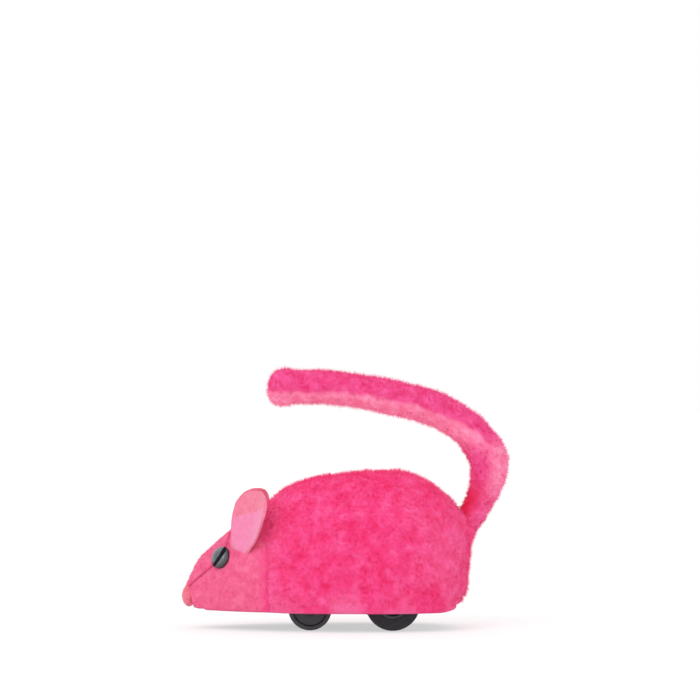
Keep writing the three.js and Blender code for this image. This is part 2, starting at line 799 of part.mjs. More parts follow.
function buildMotorCase() {
  const flat = new THREE.Vector2();
  const bearings = [lowerCentre, upperCentre].map((centre) => [centre, pinRadius + pressGap]);
  const seats = [...bearings, [flywheelCentre, pinRadius + runningGap]];
  const seatEnd = caseInnerHalf + pinSeatDepth + pressGap;
  const seatHoles = seats.map(([centre, radius]) => rod(radius, -seatEnd, seatEnd, centre));
  const axleHole = rod(axleRadius + runningGap, -caseHalf - overrun, caseHalf + overrun, driveCentre);
  for (const [place, side] of sides) {
    const outside = (length) => [Math.min(0, side * length), Math.max(0, side * length)];
    const [y0, y1] = outside(caseHalf);
    const cavity = side < 0 ? [-caseInnerHalf, overrun] : [-overrun, caseInnerHalf];
    const walls = slab(caseOutline(caseWall), y0, y1, flat);
    const bosses = caseBosses.map(([, centre]) => rod(caseBossRadius, y0, y1, centre));
    const hollow = slab(caseOutline(0), ...cavity, flat);
    const holeRadius = caseScrewRadius + (side < 0 ? runningGap : pressGap);
    const screwEnd = side < 0 ? -caseHalf - overrun : caseHalf + overrun;
    const screwHoles = caseBosses.map(([, centre]) =>
      rod(holeRadius, Math.min(screwEnd, -side * overrun), Math.max(screwEnd, -side * overrun), centre),
    );
    const [, screwX] = motorScrews.find(([, , lugSide]) => lugSide === side);
    const lugY = motorScrewY(side);
    const lug = box(
      Math.min(screwX - lugEdge, driveCentre.x),
      Math.max(screwX + lugEdge, driveCentre.x),
      lugY - lugWidth / 2,
      lugY + lugWidth / 2,
      plateTop,
      plateTop + lugThickness,
    );
    const lugHole = post(screwRadius + runningGap, plateBottom, plateTop + 2 * lugThickness, screwX, lugY);
    const holes = [...seatHoles, axleHole, ...screwHoles, lugHole];
    if (side < 0) holes.push(caseWindow());
    const half = cut(join(walls, ...bosses, lug), hollow, ...holes);
    add(`motor_case_${place}`, half, materials.casePlastic);
  }
}

function buildCaseScrews() {
  for (const [place, centre] of caseBosses) {
    const geometry = screw(caseScrewRadius, caseHalf + caseInnerHalf).rotateX(-Math.PI / 2);
    geometry.translate(centre.x, -caseHalf, centre.y);
    add(`case_screw_${place}`, solid(geometry), materials.steel);
  }
}

function buildPins() {
  const end = caseInnerHalf + pinSeatDepth;
  add("lower_idler_pin", rod(pinRadius, -end, end, lowerCentre), materials.steel);
  add("upper_idler_pin", rod(pinRadius, -end, end, upperCentre), materials.steel);
  add("flywheel_shaft", rod(pinRadius, -end, end, flywheelCentre), materials.steel);
}

// The turn at which a gear meshes with the tooth that its neighbour points at it
function meshingTurn(turn, teeth) {
  return turn + Math.PI + Math.PI / teeth;
}

// A pinion and a larger wheel moulded as one, with a hub between them
function idler(centre, pinion, wheel) {
  const bore = pinRadius + runningGap;
  const [start, end] = [pinion.place, wheel.place + wheel.width];
  const drill = rod(bore, start - overrun, end + overrun, centre);
  const hub = cut(rod(idlerHubRadius, start, end, centre), drill);
  return join(gear({ ...pinion, centre, bore }), hub, gear({ ...wheel, centre, bore }));
}

function buildGears() {
  const drive = gear({
    teeth: driveTeeth,
    turn: lowerIdlerTurn,
    place: drivePlane,
    width: driveGearWidth,
    centre: driveCentre,
    bore: axleRadius + pressGap,
  });
  const lowerPinion = {
    teeth: lowerPinionTeeth,
    turn: meshingTurn(lowerIdlerTurn, lowerPinionTeeth),
    place: drivePlane,
    width: driveGearWidth,
  };
  const lowerWheel = {
    teeth: lowerWheelTeeth,
    turn: upperIdlerTurn,
    place: lowerPlane,
    width: idlerGearWidth,
  };
  const upperPinion = {
    teeth: upperPinionTeeth,
    turn: meshingTurn(upperIdlerTurn, upperPinionTeeth),
    place: lowerPlane,
    width: idlerGearWidth,
  };
  const upperWheel = {
    teeth: upperWheelTeeth,
    turn: flywheelTurn,
    place: upperPlane,
    width: idlerGearWidth,
  };
  const flywheelPinion = gear({
    teeth: flywheelPinionTeeth,
    turn: meshingTurn(flywheelTurn, flywheelPinionTeeth),
    place: upperPlane,
    width: idlerGearWidth,
    centre: flywheelCentre,
    bore: pinRadius + pressGap,
  });
  add("drive_gear", drive, materials.gearPlastic);
  add("lower_idler_gear", idler(lowerCentre, lowerPinion, lowerWheel), materials.gearPlastic);
  add("upper_idler_gear", idler(upperCentre, upperPinion, upperWheel), materials.gearPlastic);
  add("flywheel_pinion", flywheelPinion, materials.gearPlastic);
}

function buildFlywheel() {
  const bore = pinRadius + pressGap;
  const [near, far] = [0, flywheelWidth];
  const rim = flywheelRadius - flywheelRim;
  const profile = [
    [bore, near],
    [flywheelHub, near],
    [flywheelHub, near + flywheelDish],
    [rim, near + flywheelDish],
    [rim, near],
    [flywheelRadius, near],
    [flywheelRadius, far],
    [bore, far],
    [bore, near],
  ];
  const geometry = turned(profile, wheelSides);
  geometry.translate(flywheelCentre.x, flywheelPlane, flywheelCentre.y);
  add("flywheel", solid(geometry), materials.steel);
}

// A wheel's faces are flats, so that a flat rests on the floor at the wheel's radius.
function overFlats(radius) {
  return radius / Math.cos(Math.PI / wheelSides);
}

// Stands a turned piece at one end of an axle, with its outer face outwards.
function placeWheel(geometry, side, centre, track) {
  if (side < 0) geometry.rotateX(Math.PI);
  return solid(geometry.translate(centre.x, (side * track) / 2, centre.y));
}

function buildRearWheels() {
  const half = rearTyreWidth / 2;
  const boss = caseHalf + seatGap - rearTrack / 2;
  const hubRadius = tyreBoreRadius - pressGap;
  const hubProfile = [
    [0, half - hubCap],
    [axleRadius + pressGap, half - hubCap],
    [axleRadius + pressGap, boss],
    [hubBossRadius, boss],
    [hubBossRadius, -half],
    [hubRadius, -half],
    [hubRadius, half],
    [hubRadius - wheelRim, half],
    [hubRadius - wheelRim, half - faceRecess],
    [hubBossRadius, half - faceRecess],
    [hubBossRadius, half],
    [0, half],
  ];
  const tread = overFlats(rearWheelRadius);
  const shoulder = tread - faceRecess / 2;
  const tyreProfile = [
    [tyreBoreRadius, -half],
    [shoulder, -half],
    [tread, faceRecess / 2 - half],
    [tread, half - faceRecess / 2],
    [shoulder, half],
    [tyreBoreRadius, half],
    [tyreBoreRadius, -half],
  ];
  for (const [place, side] of sides) {
    const hub = placeWheel(turned(hubProfile, wheelSides), side, driveCentre, rearTrack);
    const tyre = placeWheel(turned(tyreProfile, wheelSides), side, driveCentre, rearTrack);
    add(`rear_wheel_${place}`, hub, materials.wheelPlastic);
    add(`rear_tyre_${place}`, tyre, materials.rubber);
  }
  const end = rearTrack / 2 + half - hubCap - pressGap;
  add("rear_axle", rod(axleRadius, -end, end, driveCentre), materials.steel);
}

function buildFrontWheels() {
  const half = frontWheelWidth / 2;
  const tread = overFlats(frontWheelRadius);
  const profile = [
    [0, half - hubCap],
    [axleRadius + pressGap, half - hubCap],
    [axleRadius + pressGap, -half],
    [tread, -half],
    [tread, half],
    [tread - wheelRim, half],
    [tread - wheelRim, half - faceRecess],
    [hubBossRadius, half - faceRecess],
    [hubBossRadius, half],
    [0, half],
  ];
  for (const [place, side] of sides) {
    const wheel = placeWheel(turned(profile, wheelSides), side, frontCentre, frontTrack);
    add(`front_wheel_${place}`, wheel, materials.wheelPlastic);
  }
  const end = frontTrack / 2 + half - hubCap - pressGap;
  add("front_axle", rod(axleRadius, -end, end, frontCentre), materials.steel);
}

buildCovers();
buildEyes();
buildEars();
buildTail();
buildShell();
buildBasePlate();
buildBaseScrews();
buildMotorScrews();
buildMotorCase();
buildCaseScrews();
buildPins();
buildGears();
buildFlywheel();
buildRearWheels();
buildFrontWheels();

export default mouse;
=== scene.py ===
# %% [markdown]
# # A plush mouse on friction wheels
# The toy is a soft pink mouse, about 76 mm long, over a hard shell with a flywheel motor.
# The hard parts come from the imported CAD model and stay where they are. Everything soft is
# built here as surfaces worked out with numpy, because pile, felt and stuffing have no flat
# faces. Lengths are written in millimetres and become metres only when a mesh is made.

# %% Load the frame
import math

import bpy
import numpy as np
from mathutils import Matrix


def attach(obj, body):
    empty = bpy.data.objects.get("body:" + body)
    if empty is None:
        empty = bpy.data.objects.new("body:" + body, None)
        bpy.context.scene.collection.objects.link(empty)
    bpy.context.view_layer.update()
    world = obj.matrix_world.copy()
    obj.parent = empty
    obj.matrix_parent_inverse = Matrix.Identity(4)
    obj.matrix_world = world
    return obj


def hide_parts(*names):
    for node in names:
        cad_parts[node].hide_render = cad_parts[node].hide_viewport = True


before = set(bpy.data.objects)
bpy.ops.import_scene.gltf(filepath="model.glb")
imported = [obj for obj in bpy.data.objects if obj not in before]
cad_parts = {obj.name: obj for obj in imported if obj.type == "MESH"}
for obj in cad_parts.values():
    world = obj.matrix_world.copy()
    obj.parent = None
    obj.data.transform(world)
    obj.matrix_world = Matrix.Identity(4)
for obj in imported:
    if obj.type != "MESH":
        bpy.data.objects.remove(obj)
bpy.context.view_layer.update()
MM = 0.001


def linked(name, data):
    """A new object with that data, put in the scene."""
    thing = bpy.data.objects.new(name, data)
    bpy.context.scene.collection.objects.link(thing)
    return thing


# %% [markdown]
# ## Camera
# The photograph looks straight at the left side from some way off, so lines across the toy
# hardly converge. A long lens at a distance gives that. The lens follows from how wide the
# picture is at the toy's middle plane.

# %% Camera
VIEW_DISTANCE, FRAME_WIDTH, SENSOR_WIDTH = 900.0, 163.1, 36.0
VIEW_X, VIEW_Z = 1.0, 64.6

lens = bpy.data.cameras.new("camera")
lens.sensor_width = SENSOR_WIDTH
lens.lens = SENSOR_WIDTH * VIEW_DISTANCE / FRAME_WIDTH
camera = linked("camera", lens)
camera.location = (VIEW_X * MM, -VIEW_DISTANCE * MM, VIEW_Z * MM)
camera.rotation_euler = (math.pi / 2, 0, 0)
bpy.context.scene.camera = camera
print("lens", round(lens.lens, 1), "mm")

# %% [markdown]
# ## Small helpers for node materials
# Every finish below is a tree of shader nodes. These helpers keep the trees short: one makes
# a material, the others add a pattern, a colour ramp, a mix or a bump to it, and the last one
# puts these together for the plain finishes. Patterns read Object coordinates, which stay on
# the piece when it moves, or an attribute of the mesh.


# %% Material helpers
def srgb(red, green, blue):
    """The linear colour of an sRGB colour given as 0 to 255."""
    share = np.array([red, green, blue]) / 255
    linear = np.where(share <= 0.04045, share / 12.92, ((share + 0.055) / 1.055) ** 2.4)
    return (*linear.tolist(), 1.0)


def shader_of(material):
    """The Principled shader of a material."""
    return material.node_tree.nodes["Principled BSDF"]


def finish(name, roughness, **sockets):
    """A material with one Principled shader, whose sockets are set by name."""
    material = bpy.data.materials.new(name)
    material.use_nodes = True
    inputs = shader_of(material).inputs
    inputs["Roughness"].default_value = roughness
    for socket, value in sockets.items():
        inputs[socket.replace("_", " ")].default_value = value
    return material


def node_in(tree, kind, inputs, **settings):
    """The outputs of a new shader node. A socket given for an input is linked to it, and
    anything else becomes its value."""
    node = tree.nodes.new("ShaderNode" + kind)
    for key, value in settings.items():
        setattr(node, key, value)
    for key, value in inputs.items():
        if isinstance(value, bpy.types.NodeSocket):
            tree.links.new(value, node.inputs[key])
        else:
            node.inputs[key].default_value = value
    return node.outputs


def grain(material, waves, detail=2.0):
    """A grey pattern on Object coordinates with that many waves in a millimetre."""
    place = node_in(material.node_tree, "TexCoord", {})["Object"]
    inputs = {"Vector": place, "Scale": waves / MM, "Detail": detail}
    return node_in(material.node_tree, "TexNoise", inputs)[0]


def painted(material, name):
    """A number stored on the mesh under that name."""
    return node_in(material.node_tree, "Attribute", {}, attribute_name=name)["Fac"]


def ramp(material, value, colours, places=(0.3, 0.7)):
    """sRGB colours for a grey value, each at a place from 0 to 1."""
    node = material.node_tree.nodes.new("ShaderNodeValToRGB")
    elements = node.color_ramp.elements
    while len(elements) < len(colours):
        elements.new(0.5)
    for element, place, colour in zip(elements, places, colours):
        element.position = place
        element.color = srgb(*colour)
    material.node_tree.links.new(value, node.inputs["Fac"])
    return node.outputs["Color"]


def mixed(material, name, first, second):
    """Goes from the first colour to the second by a number stored on the mesh."""
    inputs = {0: painted(material, name), 6: first, 7: second}
    return node_in(material.node_tree, "Mix", inputs, data_type="RGBA")[2]


def coloured(material, colour):
    """Plugs a colour into the material's shader."""
    material.node_tree.links.new(colour, shader_of(material).inputs["Base Color"])


def bumped(material, waves, detail, depth, strength):
    """Lets a grain stand up from the surface by a depth in millimetres."""
    height = grain(material, waves, detail)
    inputs = {"Height": height, "Distance": depth * MM, "Strength": strength}
    normal = node_in(material.node_tree, "Bump", inputs)["Normal"]
    material.node_tree.links.new(normal, shader_of(material).inputs["Normal"])


def between(tree, value, low, high, start=0.0, end=1.0):
    """Carries a value from one range to another."""
    ends = {"From Min": start, "From Max": end, "To Min": low, "To Max": high}
    return node_in(tree, "MapRange", {"Value": value, **ends})["Result"]


def roughened(material, waves, low, high):
    """Lets a grain vary the roughness between two values."""
    spread = between(material.node_tree, grain(material, waves), low, high)
    material.node_tree.links.new(spread, shader_of(material).inputs["Roughness"])


def grained(name, roughness, tones, waves, relief=(), gloss=(), **sockets):
    """A finish whose colour drifts between two tones by waves in a millimetre and their
    detail. A relief gives both again, with a bump's depth and strength. A gloss gives waves,
    with the lowest and highest roughness."""
    material = finish(name, roughness, **sockets)
    coloured(material, ramp(material, grain(material, *waves), tones))
    if relief:
        bumped(material, *relief)
    if gloss:
        roughened(material, *gloss)
    return material


print("material helpers ready")

# %% [markdown]
# ## Small helpers for surfaces
# Each new piece is a grid of points: rows run along the piece and columns close into rings
# round it. One function joins such a grid into a closed mesh. It also lays the grid out
# flat as a map, so that a bake through it gives every face its own place.


# %% Surface helpers
def piece_of(name, mesh, places, numbers, materials):
    """A new piece from a mesh: lays it out on the bake map by a place for each corner of its
    faces, and stores numbers on its points by name."""
    layer = mesh.uv_layers.new(name="OFBake")
    layer.uv.foreach_set("vector", places.astype(np.float32).ravel())
    for key, values in numbers.items():
        store = mesh.attributes.new(key, "FLOAT", "POINT")
        store.data.foreach_set("value", values.astype(np.float32).ravel())
    for material in materials:
        mesh.materials.append(material)
    print(name, "faces:", len(mesh.polygons))
    return linked(name, mesh)


def surface(name, points, *materials, **numbers):
    """Joins rings of points, in rows, by quads, and closes the first and last ring, which have
    shrunk to a spot. Numbers are stored on the points by name."""
    rows, columns = points.shape[:2]
    index = np.arange(rows * columns).reshape(rows, columns)
    beside = np.roll(index, -1, axis=1)
    quads = np.stack([index[:-1], beside[:-1], beside[1:], index[1:]], axis=-1).reshape(-1, 4)
    flat = points.reshape(-1, 3)
    corners = flat[quads] - flat.mean(axis=0)
    pull = np.cross(corners[:, 2] - corners[:, 0], corners[:, 3] - corners[:, 1])
    outward = (pull * corners.mean(axis=1)).sum() > 0
    quads = quads if outward else quads[:, ::-1]
    ends = [index[0][::-1], index[-1]] if outward else [index[0], index[-1][::-1]]
    mesh = bpy.data.meshes.new(name)
    mesh.from_pydata(flat * MM, [], quads.tolist() + [end.tolist() for end in ends])
    mesh.shade_smooth()
    down, across = np.meshgrid(np.arange(rows - 1), np.arange(columns), indexing="ij")
    steps = np.array([[0, 0], [0, 1], [1, 1], [1, 0]])
    steps = steps if outward else steps[::-1]
    place = np.stack([down, across], axis=-1).reshape(-1, 1, 2) + steps
    share = (place / [rows - 1, columns]).reshape(-1, 2)
    cap = np.zeros((2 * columns, 2))
    cap[columns:, 0] = 1
    cap[:, 1] = np.tile(np.linspace(0, 1, columns), 2)
    return piece_of(name, mesh, np.concatenate([share, cap]), numbers, materials)


def full_turn(columns):
    """The angles of that many columns round a ring, as one row."""
    return np.linspace(0, 2 * math.pi, columns, endpoint=False)[None]


def unit(vectors):
    """The same directions, each with the length 1."""
    return vectors / np.linalg.norm(vectors, axis=-1, keepdims=True)


def normals_of(points):
    """The direction square to a grid of rings, away from the middle of each ring."""
    along = np.gradient(points, axis=0)
    around = np.roll(points, -1, axis=1) - np.roll(points, 1, axis=1)
    square = np.cross(along, around)
    square /= np.linalg.norm(square, axis=-1, keepdims=True) + 1e-12
    away = points - points.mean(axis=1, keepdims=True)
    return square * np.sign((square * away).sum(axis=-1).mean())


def drift(points, size, seed):
    """A smooth random field from -1 to 1: values on a cubic lattice of that size in
    millimetres, picked from a seeded table and eased between the lattice points."""
    table = np.random.default_rng(seed).random(8192) * 2 - 1
    base = np.floor(points / size).astype(np.int64)
    part = points / size - base
    ease = part * part * (3 - 2 * part)
    total = np.zeros(points.shape[:-1])
    for corner in np.ndindex(2, 2, 2):
        x, y, z = np.moveaxis(base + corner, -1, 0)
        key = (x * 73856093 ^ y * 19349663 ^ z * 83492791) % len(table)
        total += table[key] * np.where(corner, ease, 1 - ease).prod(axis=-1)
    return total


def curve_through(at, places, values):
    """A smooth curve through stations: a cubic between each two, with the mean slope there.
    The values may be numbers or whole rows of points."""
    slopes = np.gradient(values, places, axis=0)
    left = np.clip(np.searchsorted(places, at, side="right") - 1, 0, len(places) - 2)
    shape = (len(at),) + (1,) * (values.ndim - 1)
    width = (places[left + 1] - places[left]).reshape(shape)
    t = (at - places[left]).reshape(shape) / width
    start = (1 + 2 * t) * (1 - t) ** 2 * values[left] + t * (1 - t) ** 2 * width * slopes[left]
    end = t * t * (3 - 2 * t) * values[left + 1] - t * t * (1 - t) * width * slopes[left + 1]
    return start + end


def smooth_step(value):
    """Eases from 0 to 1 while the value goes from 0 to 1."""
    share = np.clip(value, 0, 1)
    return share * share * (3 - 2 * share)


print("surface helpers ready")

# %% [markdown]
# ## The stuffed form
# Head and body share one form: a row of sections from nose to rump, each a dome with a flat
# foot. The sections repeat the CAD source's shares, and a smooth curve runs through them
# here, so that the outline has no corners. The cloth lies a little inside the CAD outline,
# because the tips of the pile reach that outline.

# %% Sections of the form
NOSE_X, BODY_LENGTH = -38.15, 67.75
BODY_WIDTH, BODY_HEIGHT, BELLY_HEIGHT = 37.0, 32.5, 4.2
NOSE_LEAN, RUMP_LEAN, LEAN_EXPONENT = 1.4, 1.8, 8
DOME_POWER = 2 / 2.3
PLUSH_THICKNESS = 1.7
SEAM_SHARE = 0.296
SEAM_X, RUMP_X = NOSE_X + BODY_LENGTH * SEAM_SHARE, NOSE_X + BODY_LENGTH

# place along the length, height of the back, lift of the belly, half width
BODY_SHARES = np.array([
    [0.0, 0.185, 0.086, 0.07], [0.008, 0.212, 0.04, 0.13], [0.027, 0.277, 0.017, 0.2],
    [0.052, 0.357, 0.012, 0.265], [0.101, 0.458, 0.01, 0.385], [0.157, 0.56, 0.01, 0.52],
    [0.234, 0.68, 0.01, 0.68], [0.312, 0.803, 0.01, 0.8], [0.377, 0.898, 0.006, 0.885],
    [0.457, 0.957, 0.002, 0.95], [0.539, 0.978, 0.0, 0.985], [0.661, 1.0, 0.0, 1.0],
    [0.742, 1.0, 0.0, 0.98], [0.807, 0.966, 0.0, 0.935], [0.863, 0.905, 0.004, 0.855],
    [0.92, 0.803, 0.012, 0.735], [0.959, 0.717, 0.03, 0.6], [0.985, 0.618, 0.065, 0.44],
    [1.0, 0.5, 0.086, 0.2],
])


def section(along):
    """Bottom, height and half width in millimetres of the form at shares of its length."""
    back, belly, half = curve_through(along, BODY_SHARES[:, 0], BODY_SHARES[:, 1:]).T
    height = BODY_HEIGHT * (back - belly)
    return BELLY_HEIGHT + BODY_HEIGHT * belly, height, BODY_WIDTH / 2 * half


def dome(x, bottom, height, half, turn):
    """A dome-shaped section: sideways it goes as a power of the cosine of the turn, upwards
    as the same power of the sine."""
    across = np.cos(turn)
    y = half * np.sign(across) * np.abs(across) ** DOME_POWER
    z = bottom + height * np.abs(np.sin(turn)) ** DOME_POWER
    return np.stack([x + 0 * y, y, z], axis=-1)


print("height at the back:", section(np.array([0.7]))[1].round(1))

# %% [markdown]
# ## A cover as one closed surface
# A cover is hollow, because the hard shell with the motor sits inside it. Each of its rings
# runs over the outside, round the hem at the foot, back over the inside, and round the other
# hem. At the seam the cloth rolls inwards as it does when it is sewn, and at the far end the
# rings are drawn in to a spot.


# %% Cover
CAP_STEPS, LINING_STEPS, HEM_STEPS = 30, 25, 4
# the open end's blunt oval: its start and power, and from how far the cloth is drawn to it
CAP_START, CAP_POWER, END_REACH = 0.7, 0.8, 8
# how far the foot hangs below the form and rises at the rump, and the hem's share of the cloth
FOOT_DROP, RUMP_LIFT, HEM_SHARE = 0.25, 1.3, 0.4
# the rounding of the rump's lower corner
CORNER_HEIGHT, CORNER_SPREAD, CORNER_DEPTH = 6.4, 1.6, 0.9
# the shares of the length between which it is hollow, and over which it opens
ROOM_FIRST, ROOM_LAST, ROOM_FADE = 0.034, 1.003, 0.02
LEAST_SIZE = 0.3


def cover(first, last, rows, columns, inset, cap, roll):
    """Rings over the form from its sewn share of the length to its open one, set in by a
    distance. The open end is closed over the cap's depth by rings on the last part of a blunt
    quarter oval, whose sides are powers of the sine and the cosine. The sewn end rolls in over
    the given distance. The foot keeps low enough to cover the edge of the base plate, and the
    rump's lower corner is rounded. Also gives how far each point is on the outside, and how
    near the seam each row is."""
    sewn_x, open_x = NOSE_X + BODY_LENGTH * first, NOSE_X + BODY_LENGTH * last
    ahead = np.sign(open_x - sewn_x)
    bend = np.linspace(CAP_START, math.pi / 2, CAP_STEPS + 1)
    ahead_by = np.sin(bend) ** CAP_POWER
    wide_by = np.maximum(np.cos(bend), 0.005) ** CAP_POWER
    drawn = np.concatenate([np.zeros(rows), (ahead_by[1:] - ahead_by[0]) / (1 - ahead_by[0])])
    draw = np.concatenate([np.ones(rows), wide_by[1:] / wide_by[0]])[:, None]
    along = np.concatenate([np.linspace(first, last, rows), np.full(CAP_STEPS, last)])
    x = NOSE_X + BODY_LENGTH * along
    near_end = np.clip(1 - np.abs(x - open_x) / END_REACH, 0, 1)
    tip = RUMP_X - inset if ahead > 0 else NOSE_X + inset
    x = x + ahead * cap * drawn
    pull = ((open_x + ahead * cap - tip) * near_end ** 3)[:, None]
    lean = NOSE_LEAN * (1 - along) ** LEAN_EXPONENT - RUMP_LEAN * along ** LEAN_EXPONENT
    lean = lean[:, None]
    near_seam = np.clip(1 - np.abs(x - sewn_x) / roll, 0, 1)
    shrink = (inset + roll * 0.4 * (1 - np.sqrt(1 - near_seam ** 2)))[:, None]
    bottom, height, half = (value[:, None] for value in section(along))
    lift = np.maximum(bottom - BELLY_HEIGHT - FOOT_DROP, 0)
    lift = RUMP_LIFT * np.tanh(lift / RUMP_LIFT) if ahead > 0 else lift
    bottom, height = BELLY_HEIGHT + lift, height + bottom - BELLY_HEIGHT - lift
    hem = HEM_SHARE * (PLUSH_THICKNESS - inset) * draw
    foot = bottom + hem
    high = np.maximum(height - shrink - hem, LEAST_SIZE)
    wide = np.maximum(half - shrink, LEAST_SIZE)
    low = (0.06 if ahead > 0 else 0.5) * high
    turn = np.linspace(0, math.pi, columns)[None]
    outer = dome(x[:, None], foot + low * (1 - draw), high * draw, wide * draw, turn)
    squeeze = 1 - 2 * PLUSH_THICKNESS / BODY_LENGTH
    centre_x = (NOSE_X + RUMP_X) / 2
    inside = ((x - centre_x) / squeeze + centre_x - NOSE_X) / BODY_LENGTH
    room = smooth_step((ROOM_LAST - inside) / ROOM_FADE) * (drawn == 0)
    room = (room * smooth_step((inside - ROOM_FIRST) / ROOM_FADE))[:, None]
    _, deep, broad = (value[:, None] for value in section(np.clip(inside, 0, 1)))
    deep = np.maximum((deep - PLUSH_THICKNESS - hem) * room, 0.02 * draw)
    broad = np.maximum(np.minimum(broad, half) - PLUSH_THICKNESS, 0.2) * room
    broad = np.maximum(broad, 0.2 * draw)
    inner_turn = np.linspace(math.pi, 0, LINING_STEPS)[None]
    floor_at = outer[:, :1, 2] - hem * (1 - room)
    inner = dome(x[:, None], floor_at, deep, broad, inner_turn)
    arc = np.linspace(0, math.pi, HEM_STEPS + 2)[1:-1]
    share = ((1 - np.cos(arc)) / 2)[None, :, None]
    drop = np.stack([0 * arc, 0 * arc, -np.sin(arc)], axis=-1)
    drop = drop * (hem * room)[..., None]
    left = outer[:, -1:] + (inner[:, :1] - outer[:, -1:]) * share + drop
    right = inner[:, -1:] + (outer[:, :1] - inner[:, -1:]) * share + drop
    ring = np.concatenate([outer, left, inner, right], axis=1)
    up = np.clip((ring[..., 2] - foot) / high, 0, 1)
    edge = share.ravel()
    skin = np.concatenate([np.ones(columns), 1 - edge, np.zeros(LINING_STEPS), edge])
    skin = np.maximum(skin, 1 - room)
    ring[..., 0] += lean * (1 - up) - pull * (0.85 + 0.15 * up) * skin
    if ahead > 0:
        corner = np.exp(-(((ring[..., 2] - CORNER_HEIGHT) / CORNER_SPREAD) ** 2))
        ring[..., 0] -= CORNER_DEPTH * corner * near_end[:, None] * skin
    face = np.zeros(ring.shape[:2])
    from_hem = np.minimum(np.arange(columns), np.arange(columns)[::-1])
    face[:, :columns] = smooth_step(from_hem / 6 + 0.4)
    return ring, face, near_seam[:, None]


BODY_COLUMNS, HEAD_COLUMNS = 300, 232
body_rings, body_face, body_seam = cover(
    SEAM_SHARE, last=0.982, rows=180, columns=BODY_COLUMNS, inset=0.5, cap=1.8, roll=0.35,
)
head_rings, head_face, head_seam = cover(
    SEAM_SHARE + 0.008, last=0.004, rows=94, columns=HEAD_COLUMNS, inset=0.42, cap=0.8, roll=0.1,
)
print("body rings", body_rings.shape, "head rings", head_rings.shape)

# %% [markdown]
# ## Pile
# Plush is a knitted back with cut yarn standing up from it. Seen from outside that is a
# soft relief: clumps two or three millimetres across, tufts under a millimetre, and yarn
# ends that blur the outline. Particle hair would not ride along or export, so the relief is
# made by moving the points of the surface, and the yarn ends are thin closed spikes.


# %% Pile relief
def tufted(points, clump, tuft, seed):
    """Heights of the pile from 0 to 1: clumps, tufts and fine yarn are three drifts of falling
    size, each folded so that it has round crests and narrow valleys."""
    fold = lambda value: 1 - np.abs(value) ** 1.5
    clumps = 0.5 + 0.5 * drift(points, clump, seed)
    tufts = fold(drift(points + 0.4 * drift(points, tuft, seed + 1)[..., None], tuft, seed + 2))
    yarn = 0.5 + 0.5 * drift(points, tuft * 0.42, seed + 3)
    return np.clip((0.45 * clumps + 0.33 * tufts + 0.22 * yarn - 0.25) / 0.6, 0, 1)


def yarn_ends(
    name, material, points, normals, heights, count, length, width, lean, seed,
    comb=None, crowd=0.0, **numbers,
):
    """Thin spikes of three sides on spots of a grid picked at random by area. Each leans by a
    slow drift and a little at random, and has a square of its own on the bake map. A comb
    adds a direction, a crowd makes them denser, and numbers given for the grid are read at
    the roots."""
    rng = np.random.default_rng(seed)
    area = np.cross(np.gradient(points, axis=0), np.gradient(points, axis=1))
    area = np.linalg.norm(area, axis=-1)
    area = (area * (1 + crowd))[:-1, :-1].ravel()
    cell = rng.choice(len(area), count, p=area / area.sum())
    row, column = np.divmod(cell, points.shape[1] - 1)
    down, across = rng.random((2, count, 1))

    def at(grid):
        near = grid[row, column] * (1 - across) + grid[row, column + 1] * across
        far = grid[row + 1, column] * (1 - across) + grid[row + 1, column + 1] * across
        return near * (1 - down) + far * down

    root, out, high = at(points), unit(at(normals)), at(heights[..., None])
    sway = np.stack([drift(root, 3.1, seed + k) for k in (11, 12, 13)], axis=-1)
    ahead = out + lean * sway + 0.35 * lean * rng.normal(size=(count, 3)) + [0.08, 0, -0.12]
    ahead = unit(ahead if comb is None else ahead + at(comb))
    side = unit(np.cross(ahead, rng.normal(size=(count, 3))))
    third = np.cross(ahead, side)
    turn = np.arange(3)[None, :, None] * 2 * math.pi / 3
    foot = (side[:, None] * np.cos(turn) + third[:, None] * np.sin(turn)) * width
    reach = length * (0.5 + 0.8 * rng.random((count, 1)))
    foot += (root - 0.3 * length * out)[:, None]
    spots = np.concatenate([foot, (root + reach * ahead)[:, None]], axis=1)
    corner = np.array([[0, 1, 3], [1, 2, 3], [2, 0, 3], [2, 1, 0]])
    mesh = bpy.data.meshes.new(name)
    faces = (np.arange(count) * 4)[:, None, None] + corner
    mesh.from_pydata(spots.reshape(-1, 3) * MM, [], faces.reshape(-1, 3))
    squares = math.ceil(math.sqrt(count))
    square = np.stack(np.divmod(np.arange(count), squares), axis=-1)[:, None, None]
    places = np.array([[0.1, 0.1], [0.9, 0.1], [0.5, 0.9], [0.5, 0.45]])[corner]
    stored = {key: np.repeat(at(grid[..., None]), 4, axis=1) for key, grid in numbers.items()}
    # the roots get low values and the tips high ones, so the deep colours paint shade at the foot
    # of each yarn end
    stored["pile"] = np.concatenate([0.2 + 0.5 * high] * 3 + [0.7 + 0.3 * high], axis=1)
    return piece_of(name, mesh, (square + places) / squares, stored, [material])


print("pile helpers ready")

# %% [markdown]
# ## Plush finish
# The pile is a strong pink with slow, cloudy changes where the yarn leans another way. Down
# between the tufts the colour is painted darker and redder, as painted shade for the light that
# reaches there only through the yarn.
# The yarn is paler than the cloth looks, because light is lost between the ends. Sheen
# gives the soft bright edge of short pile.


# %% Plush material
def pile_colour(material, waves, deep, crest):
    """Goes from deep colours, painted shade between the tufts, to crest colours by the pile's
    height, both cloudy.
    """
    cloud = grain(material, waves, 3)
    low = ramp(material, cloud, deep)
    high = ramp(material, cloud, crest, np.linspace(0.3, 0.7, len(crest)))
    return mixed(material, "pile", low, high)


